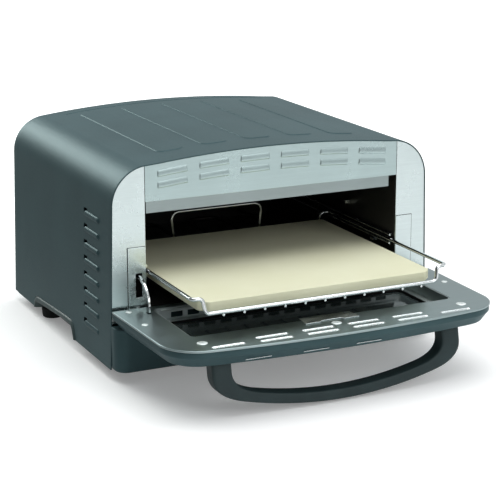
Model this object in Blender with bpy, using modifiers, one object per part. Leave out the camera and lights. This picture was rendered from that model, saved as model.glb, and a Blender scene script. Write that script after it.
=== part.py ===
"""Countertop pizza oven: arched sheet-metal casing, drop-down windowed door, and a wire rack with a baking stone.

Lengths are in millimetres and become metres where meshes are made. Positions are in the bezel's own
coordinates: +X to the oven's right, +Y to its back, +Z up, with Y zero on the front face of the bezel and
Z zero on the table. The door stands open and the rack is drawn out.
"""
import math

import bmesh
import bpy
from mathutils import Matrix, Vector

MM = 0.001
GAP = 0.3                     # between neighbours that touch
SHEET = 1.2                   # casing, door and bezel sheet

# Casing
HALF_WIDTH = 235.0            # at the bottom edge
BOTTOM = 15.0                 # height of the bottom edge above the table
TOP = 290.0                   # highest point of the crowned top
DRAFT = 0.0268                # how far each side leans in, per unit of height
CORNER_R = 52.0
CROWN_R = 1500.0
CASING_FRONT = -1.0
CASING_BACK = 382.0
BACK = 402.0                  # flat face of the rear cover
COVER_DROP = 3.0              # how far the cover's top lies below the casing's
LOUVRE_PITCH = 21.4
LOUVRE_LOW = 53.5
SIDE_LOUVRES = 8
GRIP_Y = (131.0, 306.0)       # finger recess in each side's bottom edge
GRIP_HEIGHT = 23.0
GRIP_DEPTH = 15.0

# Front
OPENING_HALF = 183.0
OPENING_TOP = 230.7
BEZEL_BOTTOM = 76.0
VENT_PITCH = 58.0             # columns of louvres above the opening
VENT_LENGTH = 38.0
VENT_ROWS = (259.0, 274.0)    # at the middle; each column follows the crown
ARM_X = 194.0                 # plane of the left hinge's arm and the right hinge's lug
ARM_ROOT = 19.6               # arm's middle line from the axis, where it leaves the leg
ARM_GROWTH = 0.288            # and how much farther for each degree towards its tail
ARM_HALF = 2.5
ARM_TAIL = 62.0               # angle of its tail above the rearward direction
LEG_TOP = 3.5
LEDGE_TOP = 73.5
BASE_FRONT = -24.9            # face of the control panel
KNOB_X = 85.0
KNOB_Z = 43.0

# Cavity
CAVITY_HALF = 184.2
CAVITY_FLOOR = 93.2
CAVITY_ROOF = 231.0
CAVITY_FRONT = 3.0
CAVITY_BACK = 384.0
WALL = 1.0
ELEMENT_R = 3.3
ELEMENT_RUNS = 6
ELEMENT_PITCH = 52.0
UPPER_ELEMENT_Z = 212.0
LOWER_ELEMENT_Z = 102.5

# Door, measured from its hinge axis with the door open
HINGE_Y = -10.0
HINGE_Z = 87.0
DOOR_FACE = 8.4               # inner plate's face above the axis
DOOR_RIM = 1.9                # lower edge of the plate's rim
DOOR_OUTER = -14.9            # outer face
DOOR_REAR = 2.2
DOOR_INSET = 2.0              # door outline inside the casing's
DOOR_WIDEN = 1.013            # then drawn out sideways
BEVEL_IN = 11.0
WINDOW_HALF = 185.0
WINDOW_Y = (-135.0, -10.0)
HANDLE_Y = -159.6             # middle of its feet
HANDLE_DEPTH = 21.0
PIN_R = 2.5

# Rack and stone
RACK_FRONT = -139.5           # centre of the front wire
RACK_LENGTH = 324.0           # front wire to rear wire
RAIL_HALF = 179.5
GUIDE_END = 380.5
RAIL_Z = 139.0
FRONT_WIRE_Z = 120.0
FRONT_WIRE_HALF = 163.0
RACK_WIRE_R = 2.5
SLAT_R = 1.6
SLATS = 11
SLAT_PITCH = 28.0
STONE_HALF = 165.0
STONE_THICKNESS = 12.5

DOOR_REACH = HINGE_Y + HINGE_Z - (TOP - DOOR_INSET)
GLAND_END = BACK + 8
BEZEL_Y = -(DOOR_REACH + GLAND_END) / 2      # puts the whole oven's middle over the origin

LEFT, RIGHT = -1, 1
SIDES = ((LEFT, "left"), (RIGHT, "right"))


# ---------------------------------------------------------------- scene and materials

def clear_scene():
    for obj in list(bpy.data.objects):
        bpy.data.objects.remove(obj, do_unlink=True)


def new_collection(name):
    made = bpy.data.collections.new(name)
    bpy.context.scene.collection.children.link(made)
    return made


def finish(name, colour, roughness, metallic=0.0, alpha=1.0):
    made = bpy.data.materials.new(name)
    made.use_nodes = True
    shader = made.node_tree.nodes["Principled BSDF"]
    shader.inputs["Base Color"].default_value = (*colour, 1.0)
    shader.inputs["Roughness"].default_value = roughness
    shader.inputs["Metallic"].default_value = metallic
    shader.inputs["Alpha"].default_value = alpha
    return made


clear_scene()
PARTS = new_collection("pizza_oven")
CUTTERS = new_collection("cutters")

PAINT = finish("paint", (0.075, 0.105, 0.110), 0.45, 0.3)
STEEL = finish("brushed_steel", (0.62, 0.65, 0.65), 0.32, 1.0)
DOOR_STEEL = finish("door_steel", (0.42, 0.47, 0.47), 0.38, 1.0)
CHROME = finish("chrome", (0.80, 0.82, 0.82), 0.12, 1.0)
DARK = finish("cavity_steel", (0.03, 0.03, 0.03), 0.55, 0.6)
PLASTIC = finish("dark_plastic", (0.05, 0.07, 0.07), 0.4)
RUBBER = finish("rubber", (0.02, 0.02, 0.02), 0.85)
CORDIERITE = finish("stone", (0.80, 0.76, 0.52), 0.85)
GLASS = finish("glass", (0.08, 0.09, 0.09), 0.05, 0.0, 0.35)
FIBRE = finish("fibre", (0.82, 0.80, 0.74), 0.95)
ELEMENT = finish("element_steel", (0.16, 0.15, 0.14), 0.5, 0.8)
LENS = finish("lens", (0.75, 0.25, 0.08), 0.2)


# ---------------------------------------------------------------- making objects

def empty(name, at, parent=None):
    made = bpy.data.objects.new(name, None)
    PARTS.objects.link(made)
    made.location = Vector(at) * MM
    made.parent = parent
    return made


def place(name, mesh, parent, material, at=(0, 0, 0), turn=(0, 0, 0)):
    made = bpy.data.objects.new(name, mesh)
    PARTS.objects.link(made)
    made.parent = parent
    made.location = Vector(at) * MM
    made.rotation_euler = turn
    mesh.materials.clear()
    mesh.materials.append(material)
    return made


def as_cutter(obj):
    """Keeps an object as a Boolean's operand and out of the model."""
    PARTS.objects.unlink(obj)
    CUTTERS.objects.link(obj)
    obj.hide_render = True
    obj.display_type = "WIRE"
    return obj


def to_mesh(name, bm):
    mesh = bpy.data.meshes.new(name)
    bm.to_mesh(mesh)
    bm.free()
    return mesh


def welded(name, curve):
    """A curve's mesh with its caps joined to its walls."""
    carrier = bpy.data.objects.new(name, curve)
    PARTS.objects.link(carrier)
    evaluated = carrier.evaluated_get(bpy.context.evaluated_depsgraph_get())
    mesh = bpy.data.meshes.new_from_object(evaluated)
    mesh.name = name
    bm = bmesh.new()
    bm.from_mesh(mesh)
    bmesh.ops.remove_doubles(bm, verts=bm.verts, dist=0.000005)
    bmesh.ops.recalc_face_normals(bm, faces=bm.faces)
    bm.to_mesh(mesh)
    bm.free()
    bpy.data.objects.remove(carrier)
    return mesh


def box(name, parent, material, x, y, z, bevel=0.0, segments=2):
    """A block from (low, high) pairs."""
    bm = bmesh.new()
    bmesh.ops.create_cube(bm, size=1.0)
    bmesh.ops.scale(bm, vec=[(high - low) * MM for low, high in (x, y, z)], verts=bm.verts)
    made = place(name, to_mesh(name, bm), parent, material, [(low + high) / 2 for low, high in (x, y, z)])
    if bevel:
        edges = made.modifiers.new("edges", "BEVEL")
        edges.width = bevel * MM
        edges.segments = segments
    return made


def plate(name, parent, material, outlines, thickness, at=(0, 0, 0), turn=(0, 0, 0)):
    """A flat sheet: the first outline is its edge, the others are holes. Its middle plane is at z zero."""
    curve = bpy.data.curves.new(name, "CURVE")
    curve.dimensions = "2D"
    curve.fill_mode = "BOTH"
    curve.extrude = thickness / 2 * MM
    for outline in outlines:
        spline = curve.splines.new("POLY")
        spline.points.add(len(outline) - 1)
        for point, (x, y) in zip(spline.points, outline):
            point.co = (x * MM, y * MM, 0, 1)
        spline.use_cyclic_u = True
    return place(name, welded(name, curve), parent, material, at, turn)


FACING_FRONT = (math.pi / 2, 0, 0)           # a plate's x and y become the oven's X and Z
FACING_SIDE = (math.pi / 2, 0, math.pi / 2)  # a plate's x and y become the oven's Y and Z


def upright(name, parent, material, outlines, front, thickness=SHEET):
    """A plate that faces the front, with its front face at the given Y."""
    return plate(name, parent, material, outlines, thickness, (0, front + thickness / 2, 0), FACING_FRONT)


def rod(name, points, radius, sides=2, closed=False):
    """The mesh of a round wire along a list of points."""
    curve = bpy.data.curves.new(name, "CURVE")
    curve.dimensions = "3D"
    curve.bevel_depth = radius * MM
    curve.bevel_resolution = sides
    curve.use_fill_caps = True
    spline = curve.splines.new("POLY")
    spline.points.add(len(points) - 1)
    for point, where in zip(spline.points, points):
        point.co = (*(Vector(where) * MM), 1)
    spline.use_cyclic_u = closed
    return welded(name, curve)


def turned(name, parent, material, profile, at, turn=(0, 0, 0), steps=24):
    """A solid of revolution from (radius, height) points, top to bottom."""
    bm = bmesh.new()
    points = [bm.verts.new((radius * MM, 0, height * MM)) for radius, height in profile]
    for upper, lower in zip(points, points[1:]):
        bm.edges.new((upper, lower))
    made = place(name, to_mesh(name, bm), parent, material, at, turn)
    screw = made.modifiers.new("turn", "SCREW")
    screw.steps = steps
    screw.render_steps = steps
    screw.use_merge_vertices = True
    screw.merge_threshold = 0.00001
    return made


def boolean(obj, operands, operation):
    """Cuts or joins a group of operands in one Boolean modifier."""
    group = bpy.data.collections.new(obj.name + "_" + operation.lower())
    CUTTERS.children.link(group)
    for operand in operands:
        CUTTERS.objects.unlink(operand)
        group.objects.link(operand)
    made = obj.modifiers.new(operation.lower(), "BOOLEAN")
    made.operation = operation
    made.operand_type = "COLLECTION"
    made.collection = group
    made.solver = "EXACT"
    return obj


def solidify(obj, thickness=SHEET):
    made = obj.modifiers.new("sheet", "SOLIDIFY")
    made.thickness = thickness * MM
    made.offset = -1
    made.use_even_offset = True
    return obj


# ---------------------------------------------------------------- outlines

def arc(centre, radius, start, end, steps):
    """Points on a circle, angles in degrees."""
    angles = [math.radians(start + (end - start) * i / steps) for i in range(steps + 1)]
    return [(centre[0] + radius * math.cos(a), centre[1] + radius * math.sin(a)) for a in angles]


def half_width(z):
    return HALF_WIDTH - DRAFT * (z - BOTTOM)


def arch(inset, low, steps=8):
    """The casing's front outline moved in by inset, from its left foot at height low over to its right foot."""
    lean = math.sqrt(1 + DRAFT ** 2)
    crown_centre = TOP - CROWN_R
    reach = CROWN_R - CORNER_R
    z = TOP - CORNER_R
    for _ in range(20):
        x = half_width(z) - CORNER_R * lean
        z = crown_centre + math.sqrt(reach ** 2 - x ** 2)
    radius = CORNER_R - inset
    side_angle = math.degrees(math.atan(DRAFT))
    crown_angle = math.degrees(math.atan2(z - crown_centre, x))
    foot = (half_width(low) - inset * lean, low)
    corner = arc((x, z), radius, side_angle, crown_angle, steps)
    crown = arc((0, crown_centre), CROWN_R - inset, crown_angle, 90, steps)
    right = [foot] + corner + crown[1:]
    left = [(-px, pz) for px, pz in right[:-1]]
    return left + right[::-1]


def crown_height(x, inset):
    """Height of the inset arch's top at x, for x short of the corners."""
    return TOP - CROWN_R + math.sqrt((CROWN_R - inset) ** 2 - x ** 2)


def rectangle(x, y, radius=0.0, steps=3):
    """A rounded rectangle from (low, high) pairs."""
    if not radius:
        return [(x[0], y[0]), (x[1], y[0]), (x[1], y[1]), (x[0], y[1])]
    centres = [(x[1] - radius, y[1] - radius), (x[0] + radius, y[1] - radius),
               (x[0] + radius, y[0] + radius), (x[1] - radius, y[0] + radius)]
    return [p for i, c in enumerate(centres) for p in arc(c, radius, 90 * i, 90 * i + 90, steps)]


def circle(x, y, radius, sides=12):
    return arc((x, y), radius, 0, 360, sides)[:-1]


def slot(x, y, length, height):
    return rectangle((x - length / 2, x + length / 2), (y - height / 2, y + height / 2), height / 2 - 0.01, 3)


def mirrored(outline, side):
    return [(side * x, y) for x, y in outline]


def rounded_path(points, radius, steps=3):
    """A path whose inner corners are rounded by quadratic bends."""
    points = [Vector(p) for p in points]
    path = [points[0]]
    for before, corner, after in zip(points, points[1:], points[2:]):
        reach_in = min(radius, (before - corner).length / 2)
        reach_out = min(radius, (after - corner).length / 2)
        start = corner + (before - corner).normalized() * reach_in
        end = corner + (after - corner).normalized() * reach_out
        for i in range(steps + 1):
            t = i / steps
            path.append(start * (1 - t) ** 2 + corner * 2 * t * (1 - t) + end * t ** 2)
    path.append(points[-1])
    return path


# ---------------------------------------------------------------- casing

def sweep_y(name, outline, start, end):
    """An open sheet from an open outline in X and Z, swept from one Y to another."""
    bm = bmesh.new()
    verts = [bm.verts.new((x * MM, start * MM, z * MM)) for x, z in outline]
    edges = [bm.edges.new(pair) for pair in zip(verts, verts[1:])]
    swept = bmesh.ops.extrude_edge_only(bm, edges=edges)["geom"]
    moved = [item for item in swept if isinstance(item, bmesh.types.BMVert)]
    bmesh.ops.translate(bm, vec=(0, (end - start) * MM, 0), verts=moved)
    bmesh.ops.recalc_face_normals(bm, faces=bm.faces)
    upward = max(bm.faces, key=lambda f: f.calc_center_median().z)
    if upward.normal.z < 0:
        bmesh.ops.reverse_faces(bm, faces=bm.faces)
    return to_mesh(name, bm)


def outer_casing(oven):
    mesh = sweep_y("outer_casing", arch(0, BOTTOM), CASING_FRONT, CASING_BACK)
    casing = solidify(place("outer_casing", mesh, oven, PAINT))
    cutters = []
    for side, word in SIDES:
        outer = sorted((side * (HALF_WIDTH - 15), side * (HALF_WIDTH + 10)))
        for i in range(SIDE_LOUVRES):
            z = LOUVRE_LOW + LOUVRE_PITCH * i
            cutters.append(as_cutter(box(f"cut_{word}_louvre_{i}", oven, PAINT, outer, (54, 98), (z - 2, z + 2))))
        notch = grip_outline(0)
        cutters.append(as_cutter(plate(f"cut_{word}_grip", oven, PAINT, [notch], 30,
                                       (side * (HALF_WIDTH - 3), 0, 0), FACING_SIDE)))
    boolean(casing, cutters, "DIFFERENCE")


def grip_outline(inset):
    """The finger recess seen from the side: a low arch whose foot is below the casing's edge."""
    (front, back), top, radius = GRIP_Y, BOTTOM + GRIP_HEIGHT - inset, 14 - inset
    front, back, low = front + inset, back - inset, BOTTOM - 3 + inset
    left = arc((front + radius, top - radius), radius, 180, 90, 4)
    right = arc((back - radius, top - radius), radius, 90, 0, 4)
    return [(front, low)] + left + right + [(back, low)]


def side_grip(oven, side, word):
    """A moulded channel that lines the finger recess and closes it inside."""
    bm = bmesh.new()
    outline = grip_outline(GAP)
    outline = [(y, max(z, BOTTOM + 2.5)) for y, z in outline]
    rings = []
    for x in (half_width(BOTTOM + GRIP_HEIGHT) - 1.5, HALF_WIDTH - GRIP_DEPTH):
        rings.append([bm.verts.new((side * x * MM, y * MM, z * MM)) for y, z in outline])
    for i in range(len(outline) - 1):
        bm.faces.new((rings[0][i], rings[0][i + 1], rings[1][i + 1], rings[1][i]))
    bm.faces.new(rings[1])
    bmesh.ops.recalc_face_normals(bm, faces=bm.faces)
    inner = min(bm.faces, key=lambda f: abs(f.calc_center_median().x))
    if inner.normal.x * side > 0:
        bmesh.ops.reverse_faces(bm, faces=bm.faces)
    solidify(place(f"side_grip_{word}", to_mesh("side_grip", bm), oven, PLASTIC), 1.6)


def rear_cover(oven):
    """A shallow pan over the back, with two rows of vents."""
    bm = bmesh.new()
    rings = []
    full = TOP - BOTTOM
    for inset, y in ((0.4, CASING_BACK + GAP), (0.4, CASING_BACK + 7), (6.0, BACK)):
        points = arch(inset, BOTTOM + inset, 5)
        rings.append([bm.verts.new((x * MM, y * MM, (z - COVER_DROP * (max(0, z - BOTTOM) / full) ** 4) * MM))
                      for x, z in points])
    for near, far in zip(rings, rings[1:]):
        for i in range(len(near)):
            j = (i + 1) % len(near)
            bm.faces.new((near[i], near[j], far[j], far[i]))
    bm.faces.new(rings[-1])
    bmesh.ops.recalc_face_normals(bm, faces=bm.faces)
    flat = max(bm.faces, key=lambda f: f.calc_center_median().y)
    if flat.normal.y < 0:
        bmesh.ops.reverse_faces(bm, faces=bm.faces)
    cover = solidify(place("rear_cover", to_mesh("rear_cover", bm), oven, PAINT))
    cutters = []
    for row, z in enumerate((200, 216)):
        for i in range(8):
            x = (i - 3.5) * 42
            cutters.append(as_cutter(box(f"cut_rear_{row}_{i}", oven, PAINT, (x - 15, x + 15),
                                         (BACK - 8, BACK + 5), (z - 2, z + 2))))
    cutters.append(as_cutter(turned("cut_gland", oven, PAINT, [(0, 12), (6.3, 12), (6.3, -12), (0, -12)],
                                    (-150, BACK, 50), FACING_FRONT, 16)))
    boolean(cover, cutters, "DIFFERENCE")


def cord_gland(oven):
    """The bush where the mains lead enters."""
    profile = [(3.6, 8), (8, 8), (9.5, 6), (9.5, GAP), (6, GAP), (6, -6), (3.6, -6), (3.6, 8)]
    turned("cord_gland", oven, RUBBER, profile, (-150, BACK, 50), (-math.pi / 2, 0, 0), 16)


# ---------------------------------------------------------------- front

def bezel(oven):
    inset = SHEET + GAP + 0.1
    whole = arch(inset, BEZEL_BOTTOM)
    half = len(whole) // 2
    seam = OPENING_HALF + 0.8
    for side, word in SIDES:                 # drawn on the left
        corner = [p for p in whole[:half] if p[0] < -seam] + [(-seam, crown_height(seam, inset)),
                                                              (-seam, BEZEL_BOTTOM)]
        slots = [rectangle((-198.3, -189.3), (107, 139))] if side == LEFT else []
        upright(f"bezel_post_{word}", oven, STEEL, [mirrored(corner, -side)] + slots, 0)
        edge = rectangle((-208.5, -184), (94, 173.3))
        upright(f"hinge_plate_{word}", oven, STEEL, [mirrored(edge, -side)] + slots, -0.8 - GAP, 0.8)
    seam = OPENING_HALF + 0.2
    crown = [p for p in whole if abs(p[0]) < seam]
    panel = [(-seam, OPENING_TOP), (-seam, crown_height(seam, inset))] + crown
    panel += [(seam, crown_height(seam, inset)), (seam, OPENING_TOP)]
    columns = [(i - 2.5) * VENT_PITCH for i in range(6)]
    vents = [slot(x, z + crown_height(x, 0) - TOP, VENT_LENGTH, 4.5) for z in VENT_ROWS for x in columns]
    upright("louvre_panel", oven, STEEL, [panel] + vents, 0)
    upright("opening_flange", oven, STEEL, [rectangle((-180, 175), (214.6, CAVITY_ROOF - GAP))], 6)
    upright("front_sill", oven, DARK, [rectangle((-OPENING_HALF, OPENING_HALF), (BEZEL_BOTTOM, 91.5))], 0)


def base_front(oven):
    """The hollow control housing under the door, open at its back."""
    half, radius = HALF_WIDTH - 1.5, 17
    plan = [(-half, CASING_FRONT - GAP)] + arc((-half + radius, BASE_FRONT + radius), radius, 180, 270, 5)
    plan += [(-x, y) for x, y in reversed(plan)]
    bm = bmesh.new()
    low = [bm.verts.new((x * MM, y * MM, BOTTOM * MM)) for x, y in plan]
    high = [bm.verts.new((x * MM, y * MM, LEDGE_TOP * MM)) for x, y in plan]
    bm.faces.new(low)
    bm.faces.new(high)
    for i in range(len(plan) - 1):
        bm.faces.new((low[i], low[i + 1], high[i + 1], high[i]))
    bmesh.ops.recalc_face_normals(bm, faces=bm.faces)
    lid = max(bm.faces, key=lambda f: f.calc_center_median().z)
    if lid.normal.z < 0:
        bmesh.ops.reverse_faces(bm, faces=bm.faces)
    housing = solidify(place("base_front", to_mesh("base_front", bm), oven, PAINT), 2)
    holes = [as_cutter(turned(f"cut_panel_{i}", oven, PAINT, [(0, 10), (radius, 10), (radius, -10), (0, -10)],
                              (x, BASE_FRONT, KNOB_Z), FACING_FRONT, 16))
             for i, (x, radius) in enumerate(((-KNOB_X, 3.8), (KNOB_X, 3.8), (0, 4.3)))]
    boolean(housing, holes, "DIFFERENCE")
    turned("indicator_lens", oven, LENS, [(0, 1.5), (3, 1), (4, 0), (4, -5), (0, -5)],
           (0, BASE_FRONT, KNOB_Z), FACING_FRONT, 16)
    for name, x in (("thermostat_body", -KNOB_X), ("timer_body", KNOB_X)):
        box(name, oven, PLASTIC, (x - 16, x + 16), (BASE_FRONT + 9, 14), (KNOB_Z - 14, KNOB_Z + 14), 1.5)


def knob(name, oven, x):
    """A dial with its shaft. Its empty is on its axis."""
    axis = empty(name + "_axis", (x, BASE_FRONT, KNOB_Z), oven)
    profile = [(0, 20), (16.5, 20), (18.5, 18), (20, 1), (3.2, 1), (3.2, -8.5), (0, -8.5)]
    turned(name, axis, STEEL, profile, (0, 0, 0), FACING_FRONT, 32)


# ---------------------------------------------------------------- cavity

def cavity(oven):
    half, depth = CAVITY_HALF, (CAVITY_FRONT, CAVITY_BACK)
    inner = (-half + GAP, half - GAP)
    box("cavity_floor", oven, DARK, inner, depth, (CAVITY_FLOOR - WALL, CAVITY_FLOOR))
    box("cavity_roof", oven, DARK, inner, depth, (CAVITY_ROOF, CAVITY_ROOF + WALL))
    for side, word in SIDES:
        box(f"cavity_side_{word}", oven, DARK, sorted((side * half, side * (half + WALL))), depth,
            (CAVITY_FLOOR - WALL, CAVITY_ROOF + WALL))
    end = ELEMENT_PITCH * (ELEMENT_RUNS - 1) / 2
    holes = [circle(x, z, ELEMENT_R + 1) for x in (-end, end) for z in (UPPER_ELEMENT_Z, LOWER_ELEMENT_Z)]
    wall = rectangle((-half - WALL, half + WALL), (CAVITY_FLOOR - WALL, CAVITY_ROOF + WALL))
    upright("cavity_back", oven, DARK, [wall] + holes, CAVITY_BACK + GAP, WALL)
    box("insulation_blanket", oven, FIBRE, (-178, 178), (10, 378), (233, 247), 4)


def element(oven, name, z):
    """A tubular heater: parallel runs joined by round bends, with both ends through the cavity's back."""
    first = -ELEMENT_PITCH * (ELEMENT_RUNS - 1) / 2
    near, far, terminal = 42, 356, CAVITY_BACK + 12
    points = [(first, terminal, z)]
    for i in range(ELEMENT_RUNS):
        x = first + ELEMENT_PITCH * i
        ends = (far, near) if i % 2 == 0 else (near, far)
        if i > 0:
            points.append((x, ends[0], z))
        if i < ELEMENT_RUNS - 1:
            points.append((x, ends[1], z))
    points.append((-first, terminal, z))
    place(name, rod(name, rounded_path(points, 18, 4), ELEMENT_R), oven, ELEMENT)


def rack_guide(oven, side, word):
    """A hairpin of wire on the cavity's wall: the rack's rail runs between its two legs."""
    x, radius = side * 180.5, 2.2
    low = RAIL_Z - RACK_WIRE_R - GAP - radius
    high = RAIL_Z + RACK_WIRE_R + 1 + radius
    points = [(x, 7, low), (x, GUIDE_END, low), (x, GUIDE_END, high), (x, 7, high)]
    place(f"rack_guide_{word}", rod("rack_guide", rounded_path(points, 5.5, 4), radius), oven, CHROME)


def thermostat_bulb(oven):
    turned("thermostat_bulb", oven, CHROME, [(0, 35), (2, 34.5), (3, 33), (3, -35), (0, -35)],
           (168, 240, 224), FACING_FRONT, 12)


# ---------------------------------------------------------------- base

def base(oven):
    box("base_pan", oven, PAINT, (-217, 217), (2, 381), (BOTTOM + 0.7, BOTTOM + 0.7 + SHEET))
    box("terminal_block", oven, PLASTIC, (-165, -135), (350, 372), (BOTTOM + 3, BOTTOM + 23), 1.5)
    profile = [(0, BOTTOM + 0.4), (15, BOTTOM + 0.4), (16, BOTTOM - 2), (14.5, 0), (0, 0)]
    for end, x, y in (("front", 190, 50), ("rear", 211, 296)):
        for side, word in SIDES:
            turned(f"foot_{end}_{word}", oven, RUBBER, profile, (side * x, y, 0), (0, 0, 0), 20)


def hinge_mount(oven, side, word):
    """The fixed half of each hinge: an ear on the ledge, the pin and the counterbalance coil on it."""
    ear_x = side * 205.2
    dome = arc((HINGE_Y, HINGE_Z), 6, 0, 180, 6)
    ear = [(HINGE_Y - 6, LEDGE_TOP + GAP), (HINGE_Y + 6, LEDGE_TOP + GAP)] + dome
    plate(f"hinge_ear_{word}", oven, STEEL, [ear, circle(HINGE_Y, HINGE_Z, PIN_R + GAP)], 2.5,
          (ear_x, 0, 0), FACING_SIDE)
    turned(f"hinge_pin_{word}", oven, STEEL, [(0, 9.5), (PIN_R, 9.5), (PIN_R, -9.5), (0, -9.5)],
           (side * 199.5, HINGE_Y, HINGE_Z), (0, math.pi / 2, 0), 12)
    turns, per_turn, start, length = 3, 10, 198, 4.5
    points = []
    for i in range(turns * per_turn + 1):
        a = 2 * math.pi * i / per_turn
        x = start + length * i / (turns * per_turn)
        points.append((side * x, HINGE_Y + 3.8 * math.cos(a), HINGE_Z + 3.8 * math.sin(a)))
    place(f"hinge_spring_{word}", rod("hinge_spring", points, 0.6, 1), oven, CHROME)


# ---------------------------------------------------------------- door

def door_outline(inset, rear):
    """The door's edge in hinge coordinates: the arch laid down towards the front, closed at the hinge side."""
    return [(x * DOOR_WIDEN, HINGE_Z - z) for x, z in arch(DOOR_INSET + inset, HINGE_Z - rear, 6)]


def door_frame(door):
    """The inner plate with its turned-down rim, window and vent slots."""
    outline = door_outline(0, DOOR_REAR)
    bm = bmesh.new()
    top = [bm.verts.new((x * MM, y * MM, DOOR_FACE * MM)) for x, y in outline]
    low = [bm.verts.new((x * MM, y * MM, DOOR_RIM * MM)) for x, y in outline]
    bm.faces.new(top)
    for i in range(len(outline) - 1):
        bm.faces.new((top[i], top[i + 1], low[i + 1], low[i]))
    bmesh.ops.recalc_face_normals(bm, faces=bm.faces)
    face = max(bm.faces, key=lambda f: f.calc_area())
    if face.normal.z < 0:
        bmesh.ops.reverse_faces(bm, faces=bm.faces)
    frame = solidify(place("door_frame", to_mesh("door_frame", bm), door, DOOR_STEEL))
    cutters = [flat_cutter("cut_window", door, rectangle((-WINDOW_HALF, WINDOW_HALF), WINDOW_Y, 8))]
    for i, (x, y) in enumerate(slot_places()):
        cutters.append(flat_cutter(f"cut_slot_{i}", door, slot(x, y, 45, 7)))
    for i, (x, y, _, _) in enumerate(screw_places()):
        cutters.append(flat_cutter(f"cut_screw_{i}", door, circle(x, y, 2.0, 8)))
    cutters.append(flat_cutter("cut_arm", door, rectangle((-ARM_X - 2.5, -ARM_X + 2.5), (-28, -18))))
    boolean(frame, cutters, "DIFFERENCE")


def flat_cutter(name, door, outline):
    """A cutter through the inner plate alone."""
    return as_cutter(plate(name, door, DOOR_STEEL, [outline], 8, (0, 0, DOOR_FACE)))


def slot_places():
    """Vent slots along the door's free edge: one, then four pairs, then one."""
    pairs = [((i - 1.5) * 63.5 + 3, y) for i in range(4) for y in (-170.5, -185)]
    return [(-156, -181), (160, -181)] + pairs


def screw_places():
    """Screw centres on the inner plate, with each one's shank length and head radius."""
    front = [(x, -161, 8, 6.6) for x in (-182, 0, 182)]
    side_ones = ((217, -66, 8, 4.2), (216, -9.5, 3, 4.2))
    return front + [(side * x, y, deep, head) for side in (LEFT, RIGHT) for x, y, deep, head in side_ones]


def door_screws(door):
    for i, (x, y, deep, head) in enumerate(screw_places()):
        profile = [(0, 1.2), (head * 0.7, 1.0), (head, GAP), (1.6, GAP), (1.6, -deep), (0, -deep)]
        turned(f"door_screw_{i + 1}", door, CHROME, profile, (x, y, DOOR_FACE), (0, 0, 0), 10)


def window_frame(door):
    """The upright walls round the recessed glass, with vent holes along the hinge side."""
    outer = rectangle((-WINDOW_HALF + GAP, WINDOW_HALF - GAP), (WINDOW_Y[0] + GAP, WINDOW_Y[1] - GAP), 7.7)
    inner = rectangle((-WINDOW_HALF + GAP + SHEET, WINDOW_HALF - GAP - SHEET),
                      (WINDOW_Y[0] + GAP + SHEET, WINDOW_Y[1] - GAP - SHEET), 6.5)
    top, low = DOOR_FACE - 0.4, -8.4
    frame = plate("window_frame", door, DOOR_STEEL, [outer, inner], top - low, (0, 0, (top + low) / 2))
    cutters = []
    for i in range(13):
        x = (i - 6) * 24
        cutters.append(as_cutter(box(f"cut_vent_{i}", door, DOOR_STEEL, (x - 8.5, x + 8.5),
                                     (WINDOW_Y[1] - 4, WINDOW_Y[1] + 4), (-6, 2))))
    boolean(frame, cutters, "DIFFERENCE")


def door_glass(door):
    outline = rectangle((-176, 176), (-137, -24), 10)
    plate("door_glass", door, GLASS, [outline], 4, (0, 0, DOOR_OUTER + 2))


def door_shell(door):
    """The outer skin: a pan with bevelled edges, open where the hinges work and round the glass."""
    bm = bmesh.new()
    rings = []
    for inset, rear, z in ((0, 2, DOOR_RIM - GAP), (0, 2, -4), (BEVEL_IN, -19, DOOR_OUTER)):
        rings.append([bm.verts.new((x * MM, y * MM, z * MM)) for x, y in door_outline(inset, rear)])
    for near, far in zip(rings, rings[1:]):
        for i in range(len(near)):
            j = (i + 1) % len(near)
            bm.faces.new((near[i], near[j], far[j], far[i]))
    bm.faces.new(rings[-1])
    bmesh.ops.recalc_face_normals(bm, faces=bm.faces)
    face = min(bm.faces, key=lambda f: f.calc_center_median().z)
    if face.normal.z > 0:
        bmesh.ops.reverse_faces(bm, faces=bm.faces)
    shell = solidify(place("door_shell", to_mesh("door_shell", bm), door, PAINT))
    cutters = [as_cutter(plate("cut_glass", door, PAINT, [rectangle((-176.3, 176.3), (-137.3, -23.7), 10.3)], 12,
                               (0, 0, DOOR_OUTER)))]
    for side, word in SIDES:
        x = sorted((side * 188.5, side * 210))
        cutters.append(as_cutter(box(f"cut_hinge_{word}", door, PAINT, x, (-19.5, 8), (-18, 5))))
    boolean(shell, cutters, "DIFFERENCE")


def glass_clip(door):
    """A dog-bone plate over the edge of the window, under the middle screw."""
    outline = [(-36, -128), (36, -128), (38, -151), (17, -151), (13, -147), (-13, -147), (-17, -151), (-38, -151)]
    plate("glass_clip", door, CHROME, [outline], 0.8, (0, 0, DOOR_FACE + GAP + 0.4))


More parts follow.
